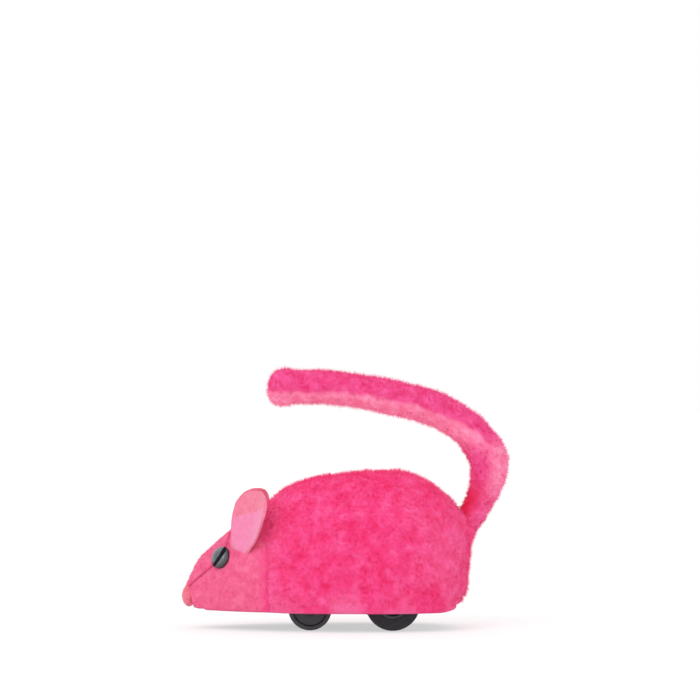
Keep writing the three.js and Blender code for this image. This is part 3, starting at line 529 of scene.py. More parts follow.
def pile_finish(name, waves, deep, crest, tint):
    """A pile's material with tinted sheen, and its colour, which isn't plugged in yet."""
    material = finish(
        name, 0.95, Sheen_Weight=0.3, Sheen_Roughness=0.45, Sheen_Tint=srgb(*tint),
        Specular_IOR_Level=0.15,
    )
    bumped(material, 3.2, 3, 0.1, 0.5)
    return material, pile_colour(material, waves, deep, crest)


plush, plush_colour = pile_finish(
    "pink_plush", 0.42,
    # deep colours: painted shade down between the tufts
    [(236, 40, 104), (246, 62, 130)],
    [(245, 70, 140), (247, 85, 153), (249, 105, 168)],
    (255, 150, 190),
)
# painted light: the paler colour is a painted haze low on the flanks and lightens the shade by the
# head seam
coloured(plush, mixed(plush, "worn", plush_colour, srgb(249, 134, 184)))
print("material", plush.name)

# %% [markdown]
# ## Body cover
# The body is the long pile cover from the seam behind the ears to the rump. It is one closed
# surface, dense enough that the tufts are real relief. The relief fades out in the seam, at
# the hem and on the inside, where the cloth is pressed flat against the shell. The colour is
# a little paler low on the flanks, a painted haze of light, and towards the rump. By the seam
# to the head it is paler too, partly a blend towards the head's colour and partly painted
# light over the shade there. Round the tail's root the cloth swells, and under it, where the
# tail is sewn on, it rises to meet it.

# %% Body
# the swelling round the tail's root: middle, height, reach
SWELL_PLACE, SWELL_HEIGHT, SWELL_REACH = [30.0, 0, 21.0], 1.1, 4.5
# the rise under the tail: from and up to which height, its height and half width
RISE_FOOT, RISE_TOP, RISE_HEIGHT, RISE_REACH = 18.8, 27.5, 1.9, 3.2
BODY_RELIEF = 0.75

body_normals = normals_of(body_rings)
body_pile = tufted(body_rings, clump=2.4, tuft=0.9, seed=7)
mask = body_face * (1 - 0.7 * body_seam)
from_tail = np.linalg.norm(body_rings - SWELL_PLACE, axis=-1)
mound = SWELL_HEIGHT * np.exp(-((from_tail / SWELL_REACH) ** 2))
x, y, z = np.moveaxis(body_rings, -1, 0)
under_tail = smooth_step((z - RISE_FOOT) / 4.4) * smooth_step((RISE_TOP - z) / 3.5) * (x > 20)
mound += RISE_HEIGHT * under_tail * np.exp(-((y / RISE_REACH) ** 4))
relief = (BODY_RELIEF * (body_pile - 0.5) + mound) * mask
body_points = body_rings + body_normals * relief[..., None]
# A paler colour: low on the flanks a painted haze of light, by the head seam partly a blend
# towards the head's colour and partly painted light over the shade there, towards the rump and in
# patches simply paler.
low = smooth_step((11.0 - z) / 7.0)
rear = smooth_step((x - 8.0) / 18.0)
patch = smooth_step(0.5 + 0.9 * drift(body_rings, 6.5, 17))
by_head = np.exp(-(x - SEAM_X) / 2.6)
worn = np.clip((0.65 * low * (1 - by_head) + 0.3 * rear) * patch + 0.36 * by_head, 0, 1)
height = body_pile * body_face + 0.25 * (1 - body_face)
body = surface("body_plush", body_points, plush, pile=height, worn=worn)
outside = (slice(0, -2), slice(0, BODY_COLUMNS))
at_seam = np.clip(1 - (x - SEAM_X) / 1.5, 0, 1)[outside]
body_yarn = yarn_ends(
    "body_yarn", plush, body_points[outside], body_normals[outside],
    np.maximum(height[outside], at_seam),
    count=41000, length=0.85, width=0.052, lean=0.55, seed=21,
    comb=at_seam[..., None] * [-2.5, 0, 0], crowd=1.5 * at_seam, worn=worn[outside],
)

# %% [markdown]
# ## Head cover
# The head is a shorter, paler velour. A seam runs on each side from the nose through the eye
# to the front of the ear, where the face panels meet the forehead panel. It is pressed into
# the surface as a fine groove, and its place is stored so that the finish can darken it. The
# colour of the body runs into the velour a little at the neck, with a ragged border.

# %% Head
HEAD_RELIEF, STITCH_DEPTH, STITCH_HALF = 0.3, 0.22, 0.2
SEAM_LINE = np.array([
    [-37.0, 9.2], [-34.0, 11.9], [-30.9, 14.6], [-28.9, 16.6], [-27.7, 19.4], [-26.9, 22.2],
])


def line_distance(points, line):
    """Distance in the side view from each point to a line through the given spots."""
    best = np.full(points.shape[:-1], 1e9)
    spot = points[..., [0, 2]]
    for start, end in zip(line[:-1], line[1:]):
        run = end - start
        along = np.clip(((spot - start) @ run) / (run @ run), 0, 1)
        off = np.linalg.norm(spot - start - along[..., None] * run, axis=-1)
        best = np.minimum(best, off)
    return best


head_normals = normals_of(head_rings)
nap = tufted(head_rings, clump=1.6, tuft=0.6, seed=31)
mask = head_face * (1 - 0.7 * head_seam)
stitch = np.exp(-((line_distance(head_rings, SEAM_LINE) / STITCH_HALF) ** 2)) * mask
stitch *= smooth_step((np.abs(head_rings[..., 1]) - 0.8) / 0.6)
relief = HEAD_RELIEF * (nap - 0.5) * mask - STITCH_DEPTH * stitch
head_points = head_rings + head_normals * relief[..., None]
height = nap * head_face + 0.25 * (1 - head_face)
reach = 1.0 + 0.9 * drift(head_rings, 1.1, 37) + 0.5 * drift(head_rings, 0.4, 38)
neck = smooth_step((reach - SEAM_X + head_rings[..., 0]) / 2.4 + 0.5)
velour, velour_colour = pile_finish(
    "pale_velour", 0.6,
    # deep colours: painted shade down between the tufts
    [(232, 84, 130), (240, 98, 142)],
    [(239, 104, 150), (243, 114, 157), (247, 126, 166)],
    (255, 190, 210),
)
velour_colour = mixed(velour, "neck", velour_colour, srgb(245, 82, 146))
coloured(velour, mixed(velour, "stitch", velour_colour, srgb(206, 60, 104)))
head = surface("head_velour", head_points, velour, pile=height, stitch=stitch, neck=neck)
outside = (slice(0, -3), slice(0, HEAD_COLUMNS))
head_yarn = yarn_ends(
    "head_yarn", velour, head_points[outside], head_normals[outside], height[outside],
    count=13000, length=0.4, width=0.04, lean=0.5, seed=41,
    stitch=stitch[outside], neck=neck[outside],
)

# %% [markdown]
# ## Tail
# The tail is a stuffed plush tube that rises from the rump, bends over and runs forwards
# above the back. A ring of points is carried along its middle line, from a rounded root that
# is sewn into the rump to a rounded tip.

# %% Tail tube
TAIL_ROOT = np.array([28.6, 0.0, 24.9])
TAIL_LENGTH, TAIL_RISE, TAIL_RADIUS = 47.2, 31.0, 4.95
TAIL_INSET = 0.8
# forward run, rise, radius from root to tip
TAIL_SHARES = np.array([
    [0.0, 0.0, 0.75], [-0.056, 0.157, 0.76], [-0.088, 0.285, 0.88], [-0.101, 0.426, 1.0],
    [-0.044, 0.612, 0.94], [0.048, 0.736, 0.89], [0.145, 0.825, 0.9], [0.347, 0.914, 0.9],
    [0.51, 0.965, 0.88], [0.688, 1.0, 0.88], [0.86, 1.004, 0.88], [0.97, 1.0, 0.84],
    [1.0, 1.0, 0.55],
])


def tail_tube(rows, columns, tip):
    """Rings round a smooth line through the stations, square to it. Both ends are closed by
    rings on a quarter circle: the root's bends down into the rump, the tip's lies ahead."""
    x = TAIL_ROOT[0] - TAIL_LENGTH * TAIL_SHARES[:, 0]
    z = TAIL_ROOT[2] + TAIL_RISE * TAIL_SHARES[:, 1]
    chord = np.concatenate([[0], np.cumsum(np.hypot(np.diff(x), np.diff(z)))])
    bend = np.linspace(0, math.pi / 2, 13)[1:]
    reach = chord[-1] - TAIL_INSET * 0.8
    at = np.concatenate([np.linspace(0, reach - tip, rows), reach - tip * (1 - np.sin(bend))])
    line = np.stack([curve_through(at, chord, x), 0 * at, curve_through(at, chord, z)], axis=-1)
    radius = curve_through(np.minimum(at, reach - tip), chord, TAIL_SHARES[:, 2])
    radius = TAIL_RADIUS * radius - TAIL_INSET
    radius[rows:] *= np.maximum(np.cos(bend), 0.02) ** 0.8
    ahead = unit(np.gradient(line, axis=0))
    below = bend[::-1]
    tilt = 0.5 * below[:, None]
    down = unit(ahead[:1] * np.cos(tilt) + np.array([[0.7, 0, 0.7]]) * np.sin(tilt))
    root = line[:1] - radius[0] * np.sin(below)[:, None] * down
    line, ahead = np.concatenate([root, line]), np.concatenate([down, ahead])
    radius = np.concatenate([radius[0] * np.maximum(np.cos(below), 0.02), radius])
    out = np.stack([-ahead[:, 2], 0 * radius, ahead[:, 0]], axis=-1)
    out = out * np.sign(out[-20, 2])
    turn = full_turn(columns)[..., None]
    ring = out[:, None] * np.cos(turn) + np.array([0, 1, 0]) * np.sin(turn)
    return line[:, None] + ring * radius[:, None, None]


tube = tail_tube(rows=84, columns=32, tip=3.0)
print("tube", tube.shape)

# %% [markdown]
# ## Stuffing the tail
# Stuffing presses the cloth outwards from within, so the tube is run as cloth that is blown
# up for a few frames, with its root held. The solver is tuned for things about a metre
# long, so it works on a copy that is a hundred times as large as the tail. No point may move
# further than a cap, which keeps the tail in the space of its CAD solid.


# %% Stuffing
FRAMES, SOLVER_SCALE = 20, 0.1


def stuffed(rings, pressure, cap, held):
    """The rings after the cloth between them was blown up: each point is moved by what the
    simulation moved it, less what its whole ring moved, and cut to the cap in millimetres.
    The first rows are held."""
    dummy = surface("stuffing_test", rings * SOLVER_SCALE / MM)
    group = dummy.vertex_groups.new(name="held")
    group.add(list(range(held * rings.shape[1])), 1.0, "ADD")
    cloth = dummy.modifiers.new("cloth", "CLOTH")
    cloth.point_cache.frame_start, cloth.point_cache.frame_end = 1, FRAMES
    settings = cloth.settings
    settings.use_pressure = True
    settings.uniform_pressure_force = pressure
    settings.vertex_group_mass = "held"
    settings.effector_weights.gravity = 0
    settings.bending_stiffness = 0.5
    for frame_number in range(1, FRAMES + 1):
        bpy.context.scene.frame_set(frame_number)
    blown = dummy.evaluated_get(bpy.context.evaluated_depsgraph_get()).to_mesh()
    places = np.empty(len(blown.vertices) * 3, np.float32)
    blown.vertices.foreach_get("co", places)
    moved = places.reshape(rings.shape).astype(float) / SOLVER_SCALE - rings
    moved -= moved.mean(axis=1, keepdims=True)
    mesh = dummy.data
    bpy.data.objects.remove(dummy)
    bpy.data.meshes.remove(mesh)
    bpy.context.scene.frame_set(1)
    size = np.linalg.norm(moved, axis=-1, keepdims=True)
    print("stuffing moved the cloth by", size.mean().round(2), "mm, most", size.max().round(2))
    return rings + moved * np.minimum(1, cap / np.maximum(size, 1e-9))


def finer(rings, rows, columns):
    """The same surface with more rows and columns, by smooth curves down and round it."""
    count, around = rings.shape[:2]
    down = curve_through(np.linspace(0, count - 1, rows), np.arange(count), rings)
    wrapped = np.moveaxis(np.concatenate([down[:, -3:], down, down[:, :4]], axis=1), 1, 0)
    at = np.arange(columns) * around / columns
    return np.moveaxis(curve_through(at, np.arange(-3, around + 4), wrapped), 0, 1)


tail_rings = finer(stuffed(tube, pressure=25.0, cap=0.5, held=14), rows=300, columns=116)
print("tail rings", tail_rings.shape)

# %% [markdown]
# ## The tail's pile
# The upper side is hot pink like the body. The lower side, and the outside of the bend, is
# paler, with a soft border between the two; at the outside of the bend that paleness is
# partly a painted reflection. The root has the colour of the body it is sewn to. In the inner
# bend near the root the colour is painted deep red, as painted shade.

# %% Tail pile
TAIL_RELIEF = 0.65
# the border between the two colours, in the side view
TONE_LINE = np.array([
    [-19, 54.8], [0, 54.8], [5.7, 53.9], [16.8, 51.8], [24.5, 48.5], [30.1, 46.0], [34.5, 41.7],
])
x, z = tail_rings[..., 0], tail_rings[..., 2]
tail_normals = normals_of(tail_rings)
border = np.interp(x, TONE_LINE[:, 0], TONE_LINE[:, 1]) + 0.35 * drift(tail_rings, 1.8, 57)
above = smooth_step((z - border) / 1.3 + 0.5)
# the outside of the bend, facing back, is paler; there the paleness is partly a painted reflection
inward = smooth_step(0.55 - 0.9 * tail_normals[..., 0])
low = smooth_step((46.0 - z) / 7.0)
tone = above * (1 - low) + (0.1 + 0.9 * inward) * low
tone += (1 - tone) * 0.85 * smooth_step((35.0 + 0.8 * drift(tail_rings, 3.0, 58) - z) / 8.0)
# painted shade: the inner bend near the root is painted deep red
crook = smooth_step((36.5 - z) / 8.0) * smooth_step(0.3 - 1.1 * tail_normals[..., 0])
tail_pile = tufted(tail_rings, clump=2.2, tuft=0.85, seed=51)
tail_points = tail_rings + tail_normals * (TAIL_RELIEF * (tail_pile - 0.5))[..., None]
tail_fur, pale = pile_finish(
    "two_tone_plush", 0.5,
    # deep colours of the paler side: painted shade down between the tufts
    [(251, 122, 166), (253, 138, 178)],
    [(255, 150, 188), (255, 161, 198), (255, 171, 205)],
    (255, 170, 205),
)
strong = pile_colour(
    # the first list: deep colours, painted shade down between the tufts
    tail_fur, 0.5, [(231, 48, 116), (240, 70, 142)], [(242, 84, 152), (248, 110, 174)],
)
# painted shade: deep red in the inner bend near the root
strong = mixed(tail_fur, "crook", strong, srgb(232, 36, 84))
coloured(tail_fur, mixed(tail_fur, "tone", pale, strong))
tail = surface("tail_plush", tail_points, tail_fur, pile=tail_pile, tone=tone, crook=crook)
outside = (slice(3, -2), slice(None))
tail_yarn = yarn_ends(
    "tail_yarn", tail_fur, tail_points[outside], tail_normals[outside], tail_pile[outside],
    count=24000, length=0.8, width=0.052, lean=0.5, seed=61,
    tone=tone[outside], crook=crook[outside],
)
print("tail top", tail_points[..., 2].max().round(2), "mm")

# %% [markdown]
# ## Ears
# Each ear is a leaf of felt, cupped along its length, with a smaller paler lining glued to
# its front. A leaf's section is a flat oval with round edges, bent to the cup. The ears stand
# on the sides of the head, turned forwards and outwards.

# %% Ears
EAR_LENGTH, EAR_WIDTH, EAR_CUP = 15.4, 10.4, 1.7
EAR_PLACE = (NOSE_X + BODY_LENGTH * 0.2117, BODY_WIDTH * 0.2432, 17.2)
EAR_SHARES = np.array([
    [-0.1, -0.62, 0.1], [0.0, -0.66, 0.2], [0.15, -0.77, 0.46], [0.4, -0.95, 0.87],
    [0.58, -1.0, 1.0], [0.78, -0.94, 0.94], [0.9, -0.72, 0.72], [0.97, -0.42, 0.42],
    [1.0, -0.14, 0.14],
])
LINING_SHARES = np.array([
    [0.02, -0.56, 0.14], [0.15, -0.68, 0.42], [0.36, -0.85, 0.8], [0.49, -0.84, 0.93],
    [0.58, -0.52, 0.96], [0.68, -0.02, 0.93], [0.76, 0.4, 0.86], [0.82, 0.66, 0.76],
])
SIDES = (("left", -1), ("right", 1))


def turn_about(axis, degrees):
    """The matrix of a right-handed turn about x, y or z."""
    c, s = math.cos(math.radians(degrees)), math.sin(math.radians(degrees))
    matrix = np.eye(3)
    a, b = {"x": (1, 2), "y": (2, 0), "z": (0, 1)}[axis]
    matrix[a, a], matrix[b, b], matrix[a, b], matrix[b, a] = c, c, -s, s
    return matrix


def leaf(shares, thickness, lift, side, edge, rows=44, columns=72):
    """A felt leaf: flat ovals across it, from root to tip, lifted off the ear's middle sheet,
    curled forwards by the square of the place across, and tucked into the head at the root.
    The ovals are blunt where the edge is small and lens-shaped where it nears 1."""
    eased = np.sin(np.linspace(0, math.pi / 2, rows))
    along = shares[0, 0] + (shares[-1, 0] - shares[0, 0]) * eased
    front = curve_through(along, shares[:, 0], shares[:, 1])[:, None]
    rear = curve_through(along, shares[:, 0], shares[:, 2])[:, None]
    turn = full_turn(columns)
    across = EAR_WIDTH / 2 * ((front + rear) / 2 + (rear - front) / 2 * np.cos(turn))
    thick = thickness / 2 * np.sign(np.sin(turn)) * np.abs(np.sin(turn)) ** edge
    curl = EAR_CUP * (across / (EAR_WIDTH / 2)) ** 2
    tucked = -1.5 * smooth_step((0.1 - along) / 0.2)[:, None]
    up = EAR_LENGTH * along[:, None] + 0 * across
    spots = np.stack([across, curl + lift + thick + tucked, up], axis=-1)
    spots[..., 1] += 0.12 * drift(spots, 2.4, 71) + 0.05 * drift(spots, 0.5, 72)
    stand = turn_about("y", 16) @ turn_about("x", -7) @ turn_about("z", 45)
    return (spots @ stand.T + EAR_PLACE) * [1, side, 1]


def felt_finish(name, tones, waves, sheen):
    """Felt: matt, finely matted, with the soft bright edge of loose fibres."""
    return grained(
        name, 0.95, tones, (waves, 4), relief=(6.0, 4, 0.08, 0.7),
        Sheen_Weight=sheen, Sheen_Roughness=0.5, Specular_IOR_Level=0.1,
    )


felt = felt_finish("pink_ear_felt", [(234, 116, 148), (242, 138, 162)], waves=0.9, sheen=0.45)
lining = felt_finish("pale_lining_felt", [(238, 128, 170), (244, 142, 184)], waves=0.9, sheen=0.45)
ears = []
for place, side in SIDES:
    back = leaf(EAR_SHARES, thickness=0.85, lift=0.0, side=side, edge=0.45)
    ear = surface(f"ear_{place}_felt", back, felt)
    front = leaf(LINING_SHARES, thickness=0.6, lift=0.33, side=side, edge=0.85)
    inside = surface(f"ear_{place}_lining", front, lining)
    ears += [(ear, f"ear_{place}", "ear_felt"), (inside, f"ear_lining_{place}", "ear_lining")]

# %% [markdown]
# ## Eyes
# An eye is a glossy moulded bead with a dark slit across its dome, set into the seam. A cut
# ball would show a slit with hard edges, so the bead is a dome of rings with a soft groove.
# The faces in the groove get a matt material of their own, and so reflect nothing.

# %% Eyes
EYE_RADIUS, EYE_DOME, EYE_SINK, EYE_HEIGHT = 2.45, 1.5, 0.4, 16.55
EYE_SHARE, SLIT_TURN, SLIT_PLACE, SLIT_HALF, SLIT_DEPTH = 0.1375, 55, 0.48, 0.4, 0.5


def side_reach(x, z):
    """Half width of the form at a length and a height."""
    bottom, height, half = section((x - NOSE_X) / BODY_LENGTH)
    up = (z - bottom) / height
    return half * (1 - up ** (2 / DOME_POWER)) ** (DOME_POWER / 2)


def bead(side, rows=60, columns=96):
    """Rings from the back of the bead over its rim to the crown. The dome rises as a power of
    the sine, and a groove of a bell-shaped section is pressed in where an upright plane that
    runs straight into the head cuts it."""
    rise = np.linspace(-0.5, 1, rows)[:, None] * math.pi / 2
    turn = full_turn(columns)
    radius = EYE_RADIUS * np.maximum(np.cos(rise), 0.004)
    x, z = radius * np.cos(turn), 1.09 * radius * np.sin(turn)
    crown = EYE_DOME * 1.05 * np.sin(np.maximum(rise, 0)) ** 0.9
    y = np.where(rise > 0, crown, 1.4 * np.sin(rise)) + 0 * turn
    slit, stand = math.radians(SLIT_TURN), turn_about("z", 36) @ turn_about("x", 24)
    spots = np.stack([x, y, z], axis=-1) @ stand.T
    off = spots[..., 2] * math.cos(slit) - spots[..., 0] * math.sin(slit) - SLIT_PLACE
    groove = np.exp(-((off / SLIT_HALF) ** 4)) * (rise > 0)
    sunk = SLIT_DEPTH * groove * smooth_step((EYE_RADIUS - radius) / 0.3)
    spots = spots - sunk[..., None] * stand[:, 1]
    centre = NOSE_X + BODY_LENGTH * EYE_SHARE
    beside = side_reach(np.array([centre]), EYE_HEIGHT)[0] - EYE_SINK
    spots = spots + [centre, beside, EYE_HEIGHT]
    return spots * [1, side, 1], groove, radius / EYE_RADIUS + 0 * turn


glass = finish(
    "grey_eye_glass", 0.16, Coat_Weight=0.6, Coat_Roughness=0.08, Specular_IOR_Level=0.6,
)
# the last, darkest tone is painted shade round the rim, where the bead sinks into the head
tones = [(72, 80, 87), (92, 99, 106), (34, 36, 42)]
coloured(glass, ramp(glass, painted(glass, "rim"), tones, (0.2, 0.65, 0.93)))
pit = grained("eye_slit", 0.8, [(24, 23, 28), (36, 35, 41)], (2.0,), Specular_IOR_Level=0.1)
roughened(glass, 1.2, 0.1, 0.24)
eyes = []
for place, side in SIDES:
    spots, groove, rim = bead(side)
    eye = surface(f"eye_{place}_bead", spots, glass, pit, rim=rim)
    deep = (groove[:-1] > 0.3) & (groove[1:] > 0.3)
    inked = np.concatenate([deep.ravel(), [False, False]]).astype(np.int32)
    eye.data.polygons.foreach_set("material_index", inked)
    eyes.append((eye, f"eye_{place}"))

# %% [markdown]
# ## Nose
# The nose is a small pad of coral felt on the tip of the head. It is an egg worked out from
# two angles, and two drifts roughen it, as felt is when it is cut and pressed.

# %% Nose
NOSE_SIZE, NOSE_HEIGHT = np.array([3.3, 4.4, 5.0]), 7.4
up = np.linspace(-1, 1, 40)[:, None] * math.pi / 2
turn = full_turn(64)
slim = np.maximum(np.cos(up), 0.01)
ball = np.stack([slim * np.cos(turn), slim * np.sin(turn), np.sin(up) + 0 * turn], axis=-1)
nose_points = ball * NOSE_SIZE / 2 + [NOSE_X + NOSE_SIZE[0] / 2, 0, NOSE_HEIGHT]
rough = 0.1 * drift(nose_points, 0.7, 81) + 0.05 * drift(nose_points, 0.3, 82)
coral = felt_finish("coral_nose_felt", [(230, 102, 126), (241, 124, 146)], waves=1.2, sheen=0.4)
nose = surface("nose_felt", nose_points + ball * rough[..., None], coral)

# %% [markdown]
# ## Wheels
# The wheels are black plastic. The rear pair drive the motor, so they carry rubber tyres with
# fine grooves. Each is a profile of radius and width carried round the axle, with round
# edges that the many-sided CAD wheels can't have.


# %% Wheel pieces
def lathe(name, profile, axle, track, side, material, sides=96):
    """A profile of radius and width carried round an axle along y: the sine and the cosine of
    the turn times the radius, half the track away from the middle on one side."""
    turn = full_turn(sides)
    radius, y = np.maximum(profile[:, :1], 0.01), profile[:, 1:] + 0 * turn
    spots = np.stack([radius * np.cos(turn), y, radius * np.sin(turn)], axis=-1)
    return surface(name, (spots + [axle[0], track / 2, axle[1]]) * [1, side, 1], material)


def rounded(profile, steps=5, radius=0.25):
    """Rounds the corners of a profile: each corner becomes a short curve between two points
    on its sides, at most the radius away from it."""
    corners = np.array(profile, float)
    made = [corners[:1]]
    for before, corner, after in zip(corners[:-2], corners[1:-1], corners[2:]):
        back, on = before - corner, after - corner
        reach = min(radius, np.linalg.norm(back) / 2, np.linalg.norm(on) / 2)
        start = corner + back / np.linalg.norm(back) * reach
        end = corner + on / np.linalg.norm(on) * reach
        t = np.linspace(0, 1, steps)[:, None]
        made.append((1 - t) ** 2 * start + 2 * t * (1 - t) * corner + t * t * end)
    made.append(corners[-1:])
    return np.concatenate(made)


REAR_RADIUS, REAR_TRACK, TYRE_WIDTH, TYRE_BORE = 6.36, 21.0, 3.8, 3.7
FRONT_RADIUS, FRONT_TRACK, FRONT_WIDTH = 5.0, 18.0, 3.0
REAR_AXLE_SHARE, AXLE_SPACING = 0.723, 19.05
REAR_AXLE = (NOSE_X + BODY_LENGTH * REAR_AXLE_SHARE, REAR_RADIUS)
FRONT_AXLE = (REAR_AXLE[0] - AXLE_SPACING, FRONT_RADIUS)
HUB_BOSS, CASE_HALF, GROOVE_DEPTH = 1.5, 6.45, 0.22

rubber = grained(
    "black_rubber", 0.75, [(54, 52, 57), (68, 66, 71)], (1.5, 4),
    relief=(5.0, 3, 0.05, 0.5), gloss=(2.0, 0.65, 0.85), Specular_IOR_Level=0.35,
)
wheel_black = grained(
    "black_wheel_plastic", 0.35, [(56, 55, 60), (71, 69, 75)], (0.8, 3),
    relief=(3.0, 3, 0.02, 0.4), gloss=(1.2, 0.3, 0.45), Specular_IOR_Level=0.5,
)
print("wheel finishes:", rubber.name, wheel_black.name)

# %% [markdown]
# ### Tyres, hubs and front wheels
# A tyre's profile goes up one side, over the tread with its grooves and down the other. A hub
# has a sunk face round a boss, with a small pit on the axle's end. A front wheel is moulded in
# one piece, with the same sunk face. Each profile comes back to where it started, so that the
# solid is closed.

# %% Wheels
tyre_half, front_half = TYRE_WIDTH / 2, FRONT_WIDTH / 2
treads = [
    [REAR_RADIUS - GROOVE_DEPTH * (k % 2), tyre_half * share]
    for k, share in enumerate(np.linspace(-0.86, 0.86, 9))
]
shoulder = REAR_RADIUS - 0.25
tyre_profile = rounded([
    [TYRE_BORE, -tyre_half], [shoulder, -tyre_half], *treads, [shoulder, tyre_half],
    [TYRE_BORE, tyre_half], [TYRE_BORE, 0], [TYRE_BORE, -tyre_half],
], 4, 0.12)


def face_of_hub(rim, width):
    """The profile of a wheel's outer face from its rim to the axle: a sunk ring, the boss and
    the pit on the axle's end."""
    return [
        [rim - 0.8, width], [rim - 0.9, width - 0.7], [HUB_BOSS + 0.2, width - 0.7],
        [HUB_BOSS, width], [0.5, width + 0.05], [0.45, width - 0.3], [0, width - 0.3],
    ]


rim, inner = TYRE_BORE - 0.05, CASE_HALF + 0.3 - REAR_TRACK / 2
hub_profile = rounded([
    [0, inner], [HUB_BOSS, inner], [HUB_BOSS, -tyre_half + 0.5], [rim, -tyre_half + 0.5],
    [rim, tyre_half], *face_of_hub(rim, tyre_half),
], 4, 0.18)
front_profile = rounded([
    [0, -front_half], [FRONT_RADIUS - 0.15, -front_half], [FRONT_RADIUS, -front_half + 0.3],
    [FRONT_RADIUS, front_half - 0.3], [FRONT_RADIUS - 0.15, front_half],
    *face_of_hub(FRONT_RADIUS - 0.2, front_half),
], 4, 0.18)
rear, front = (REAR_AXLE, REAR_TRACK), (FRONT_AXLE, FRONT_TRACK)
kinds = [
    ("rear_tyre", "tread", tyre_profile, rear, rubber, "rubber", "rear_drive"),
    ("rear_wheel", "hub", hub_profile, rear, wheel_black, "wheel_plastic", "rear_drive"),
    ("front_wheel", "rim", front_profile, front, wheel_black, "wheel_plastic", "front_wheels"),
]
wheels = []
for place, side in SIDES:
    for kind, end, profile, axle, material, slot_name, on in kinds:
        node = f"{kind}_{place}"
        piece = lathe(f"{node}_{end}", profile, *axle, side, material)
        wheels.append((piece, node, slot_name, on))
print("wheel pieces:", len(wheels))

# %% [markdown]
# ## Hard parts from the CAD model
# The shell, base plate, motor case, gears, axles and screws keep their CAD meshes. Moulded
# plastic has a fine cloudy grain and slightly uneven gloss, and so has the steel. Each finish
# is a node tree that is put into the CAD nodes' own material slots.

# %% Finishes of the CAD nodes
shell_black = grained(
    "black_shell_plastic", 0.45, [(38, 38, 42), (48, 48, 53)], (0.3, 3),
    relief=(4.0, 2, 0.03, 0.5), gloss=(0.8, 0.38, 0.55), Specular_IOR_Level=0.5,
)
case_cream = grained(
    "cream_case_plastic", 0.5, [(208, 203, 192), (222, 218, 208)], (0.4, 3),
    relief=(4.0, 2, 0.03, 0.5), gloss=(0.8, 0.42, 0.6), Specular_IOR_Level=0.5,
)
gear_white = grained(
    "white_gear_plastic", 0.4, [(234, 230, 218), (245, 242, 233)], (0.6, 3),
    relief=(5.0, 2, 0.02, 0.5), Specular_IOR_Level=0.5,
)
steel = grained(
    "turned_steel", 0.3, [(172, 175, 180), (198, 200, 204)], (1.0, 4),
    relief=(8.0, 2, 0.01, 0.6), gloss=(2.5, 0.22, 0.42), Metallic=1.0,
)

kept = {
    "shell_plastic": (shell_black, ["body_shell", "base_plate"]),
    "case_plastic": (case_cream, ["motor_case_left", "motor_case_right"]),
    "gear_plastic": (gear_white, [
        "drive_gear", "lower_idler_gear", "upper_idler_gear", "flywheel_pinion",
    ]),
    "steel": (steel, [
        "flywheel", "flywheel_shaft", "lower_idler_pin", "upper_idler_pin",
        "rear_axle", "front_axle", "base_screw_front",
        "base_screw_rear_left", "base_screw_rear_right",
        "motor_screw_front", "motor_screw_rear", "case_screw_front", "case_screw_rear",
    ]),
}
for slot_name, (material, names) in kept.items():
    for name in names:
        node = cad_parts[name]
        for place in node.material_slots:
            place.material = material
print("finished CAD nodes:", sum(len(names) for _, names in kept.values()))

# %% [markdown]
# ## What rides on what
# Each new piece moves with a body of the CAD model and stands for the CAD nodes that it
# covers. The tail is stuffed.

# %% Bodies and slots
# piece, body, finish slot, CAD nodes that it stands for
table = [
    (body, "chassis", "plush", ["body_cover"]),
    (body_yarn, "chassis", "plush", []),
    (head, "chassis", "velour", ["head_cover"]),
    (head_yarn, "chassis", "velour", []),
    (tail, "tail", "plush", ["tail_sleeve", "tail_core"]),
    (tail_yarn, "tail", "plush", []),
    (nose, "chassis", "nose_felt", ["nose"]),
]
table += [(piece, "chassis", slot_name, [node]) for piece, node, slot_name in ears]
table += [(piece, "chassis", "eye_bead", [node]) for piece, node in eyes]
table += [(piece, on, slot_name, [node]) for piece, node, slot_name, on in wheels]
for piece, on, slot_name, covered in table:
    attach(piece, on)
    if covered:
        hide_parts(*covered)

# %% [markdown]
# ## Studio
# The floor and the background are plain white, and a white world lights the toy evenly. The
# camera sees both as white through Light Path, so that no lamp has to be turned up for it.
# Near the toy the floor keeps more of its own look, and so keeps the toy's soft shadow.


# %% Floor and world
def joined(tree, operation, first, second):
    """Joins two values by an operation of arithmetic."""
    return node_in(tree, "Math", {0: first, 1: second}, operation=operation)[0]


def plainly_seen(tree):
    """1 for rays from the camera and for mirrored or bent ones, 0 for those that light."""
    path = node_in(tree, "LightPath", {})
    seen = joined(tree, "MAXIMUM", path["Is Camera Ray"], path["Is Glossy Ray"])
    return joined(tree, "MAXIMUM", seen, path["Is Transmission Ray"])


FLOOR_HALF, FLOOR_TOP = 3.0, -0.00003
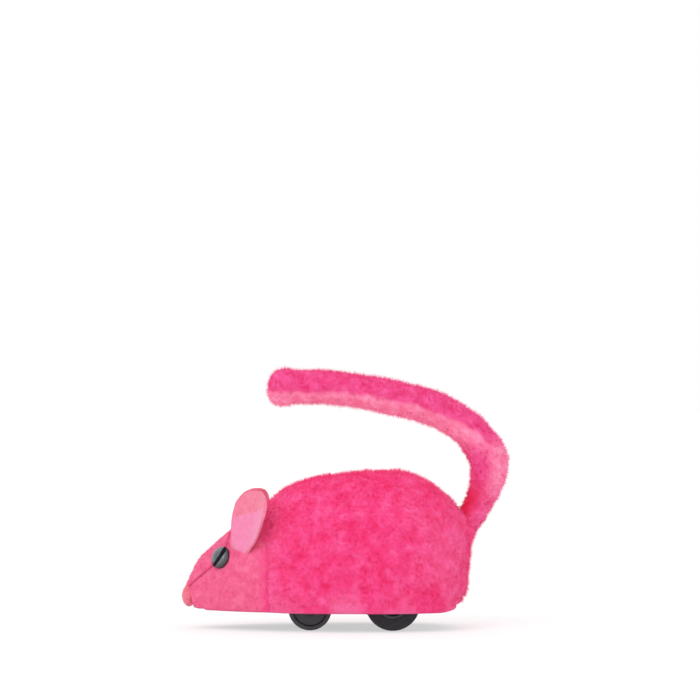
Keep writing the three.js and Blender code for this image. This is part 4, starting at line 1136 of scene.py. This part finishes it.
# the floor's glow, its share near the toy, and the metres from and to which that share grows
FLOOR_GLOW, NEAR_GLOW, NEAR, FAR = 1.1, 0.5, 0.05, 0.3
corners = [(-1, -1), (1, -1), (1, 1), (-1, 1)]
sheet = bpy.data.meshes.new("floor")
spots = [(FLOOR_HALF * x, FLOOR_HALF * y, FLOOR_TOP) for x, y in corners]
sheet.from_pydata(spots, [], [(0, 1, 2, 3)])
floor = linked("floor", sheet)

paper = grained("paper", 0.9, [(247, 247, 247), (250, 250, 250)], (0.02,), Specular_IOR_Level=0.1)
tree = paper.node_tree
place = node_in(tree, "TexCoord", {})["Object"]
reach = node_in(tree, "VectorMath", {0: place}, operation="LENGTH")["Value"]
away = between(tree, reach, NEAR_GLOW, 1.0, NEAR, FAR)
share = joined(tree, "MULTIPLY", away, plainly_seen(tree))
white = node_in(tree, "Emission", {"Strength": FLOOR_GLOW})[0]
both = node_in(tree, "MixShader", {"Fac": share, 1: shader_of(paper).outputs[0], 2: white})[0]
tree.links.new(both, tree.nodes["Material Output"].inputs["Surface"])
sheet.materials.append(paper)

AMBIENT = 0.84
world = bpy.data.worlds.new("world")
bpy.context.scene.world = world
world.use_nodes = True
sky = world.node_tree.nodes["Background"]
sky.inputs["Color"].default_value = (1, 1, 1, 1)
level = between(world.node_tree, plainly_seen(world.node_tree), AMBIENT, 1.0)
world.node_tree.links.new(level, sky.inputs["Strength"])
bpy.context.scene.view_settings.view_transform = "Standard"
print("ambient", AMBIENT)

# %% [markdown]
# ## Lamps
# Three large soft lamps model the pile. The key is up to the left of the camera, a weaker
# fill is to the right, and one behind the toy brightens the edge of the pile.


# %% Lamps
AIM = (0.0, 0.0, 0.025)


def lamp(name, place, power, size):
    """A square soft lamp that looks at the middle of the toy."""
    data = bpy.data.lights.new(name, "AREA")
    data.energy, data.size = power, size
    light = linked(name, data)
    light.location = place
    x, y, z = np.array(AIM) - place
    tilt = math.atan2(math.hypot(x, y), -z)
    light.rotation_euler = (tilt, 0, math.atan2(y, x) - math.pi / 2)


lamp("key", (-0.35, -0.55, 0.55), power=1.7, size=0.5)
lamp("fill", (0.55, -0.5, 0.3), power=0.5, size=0.6)
lamp("back", (0.1, 0.5, 0.6), power=0.6, size=0.5)
print("lamps: 3")
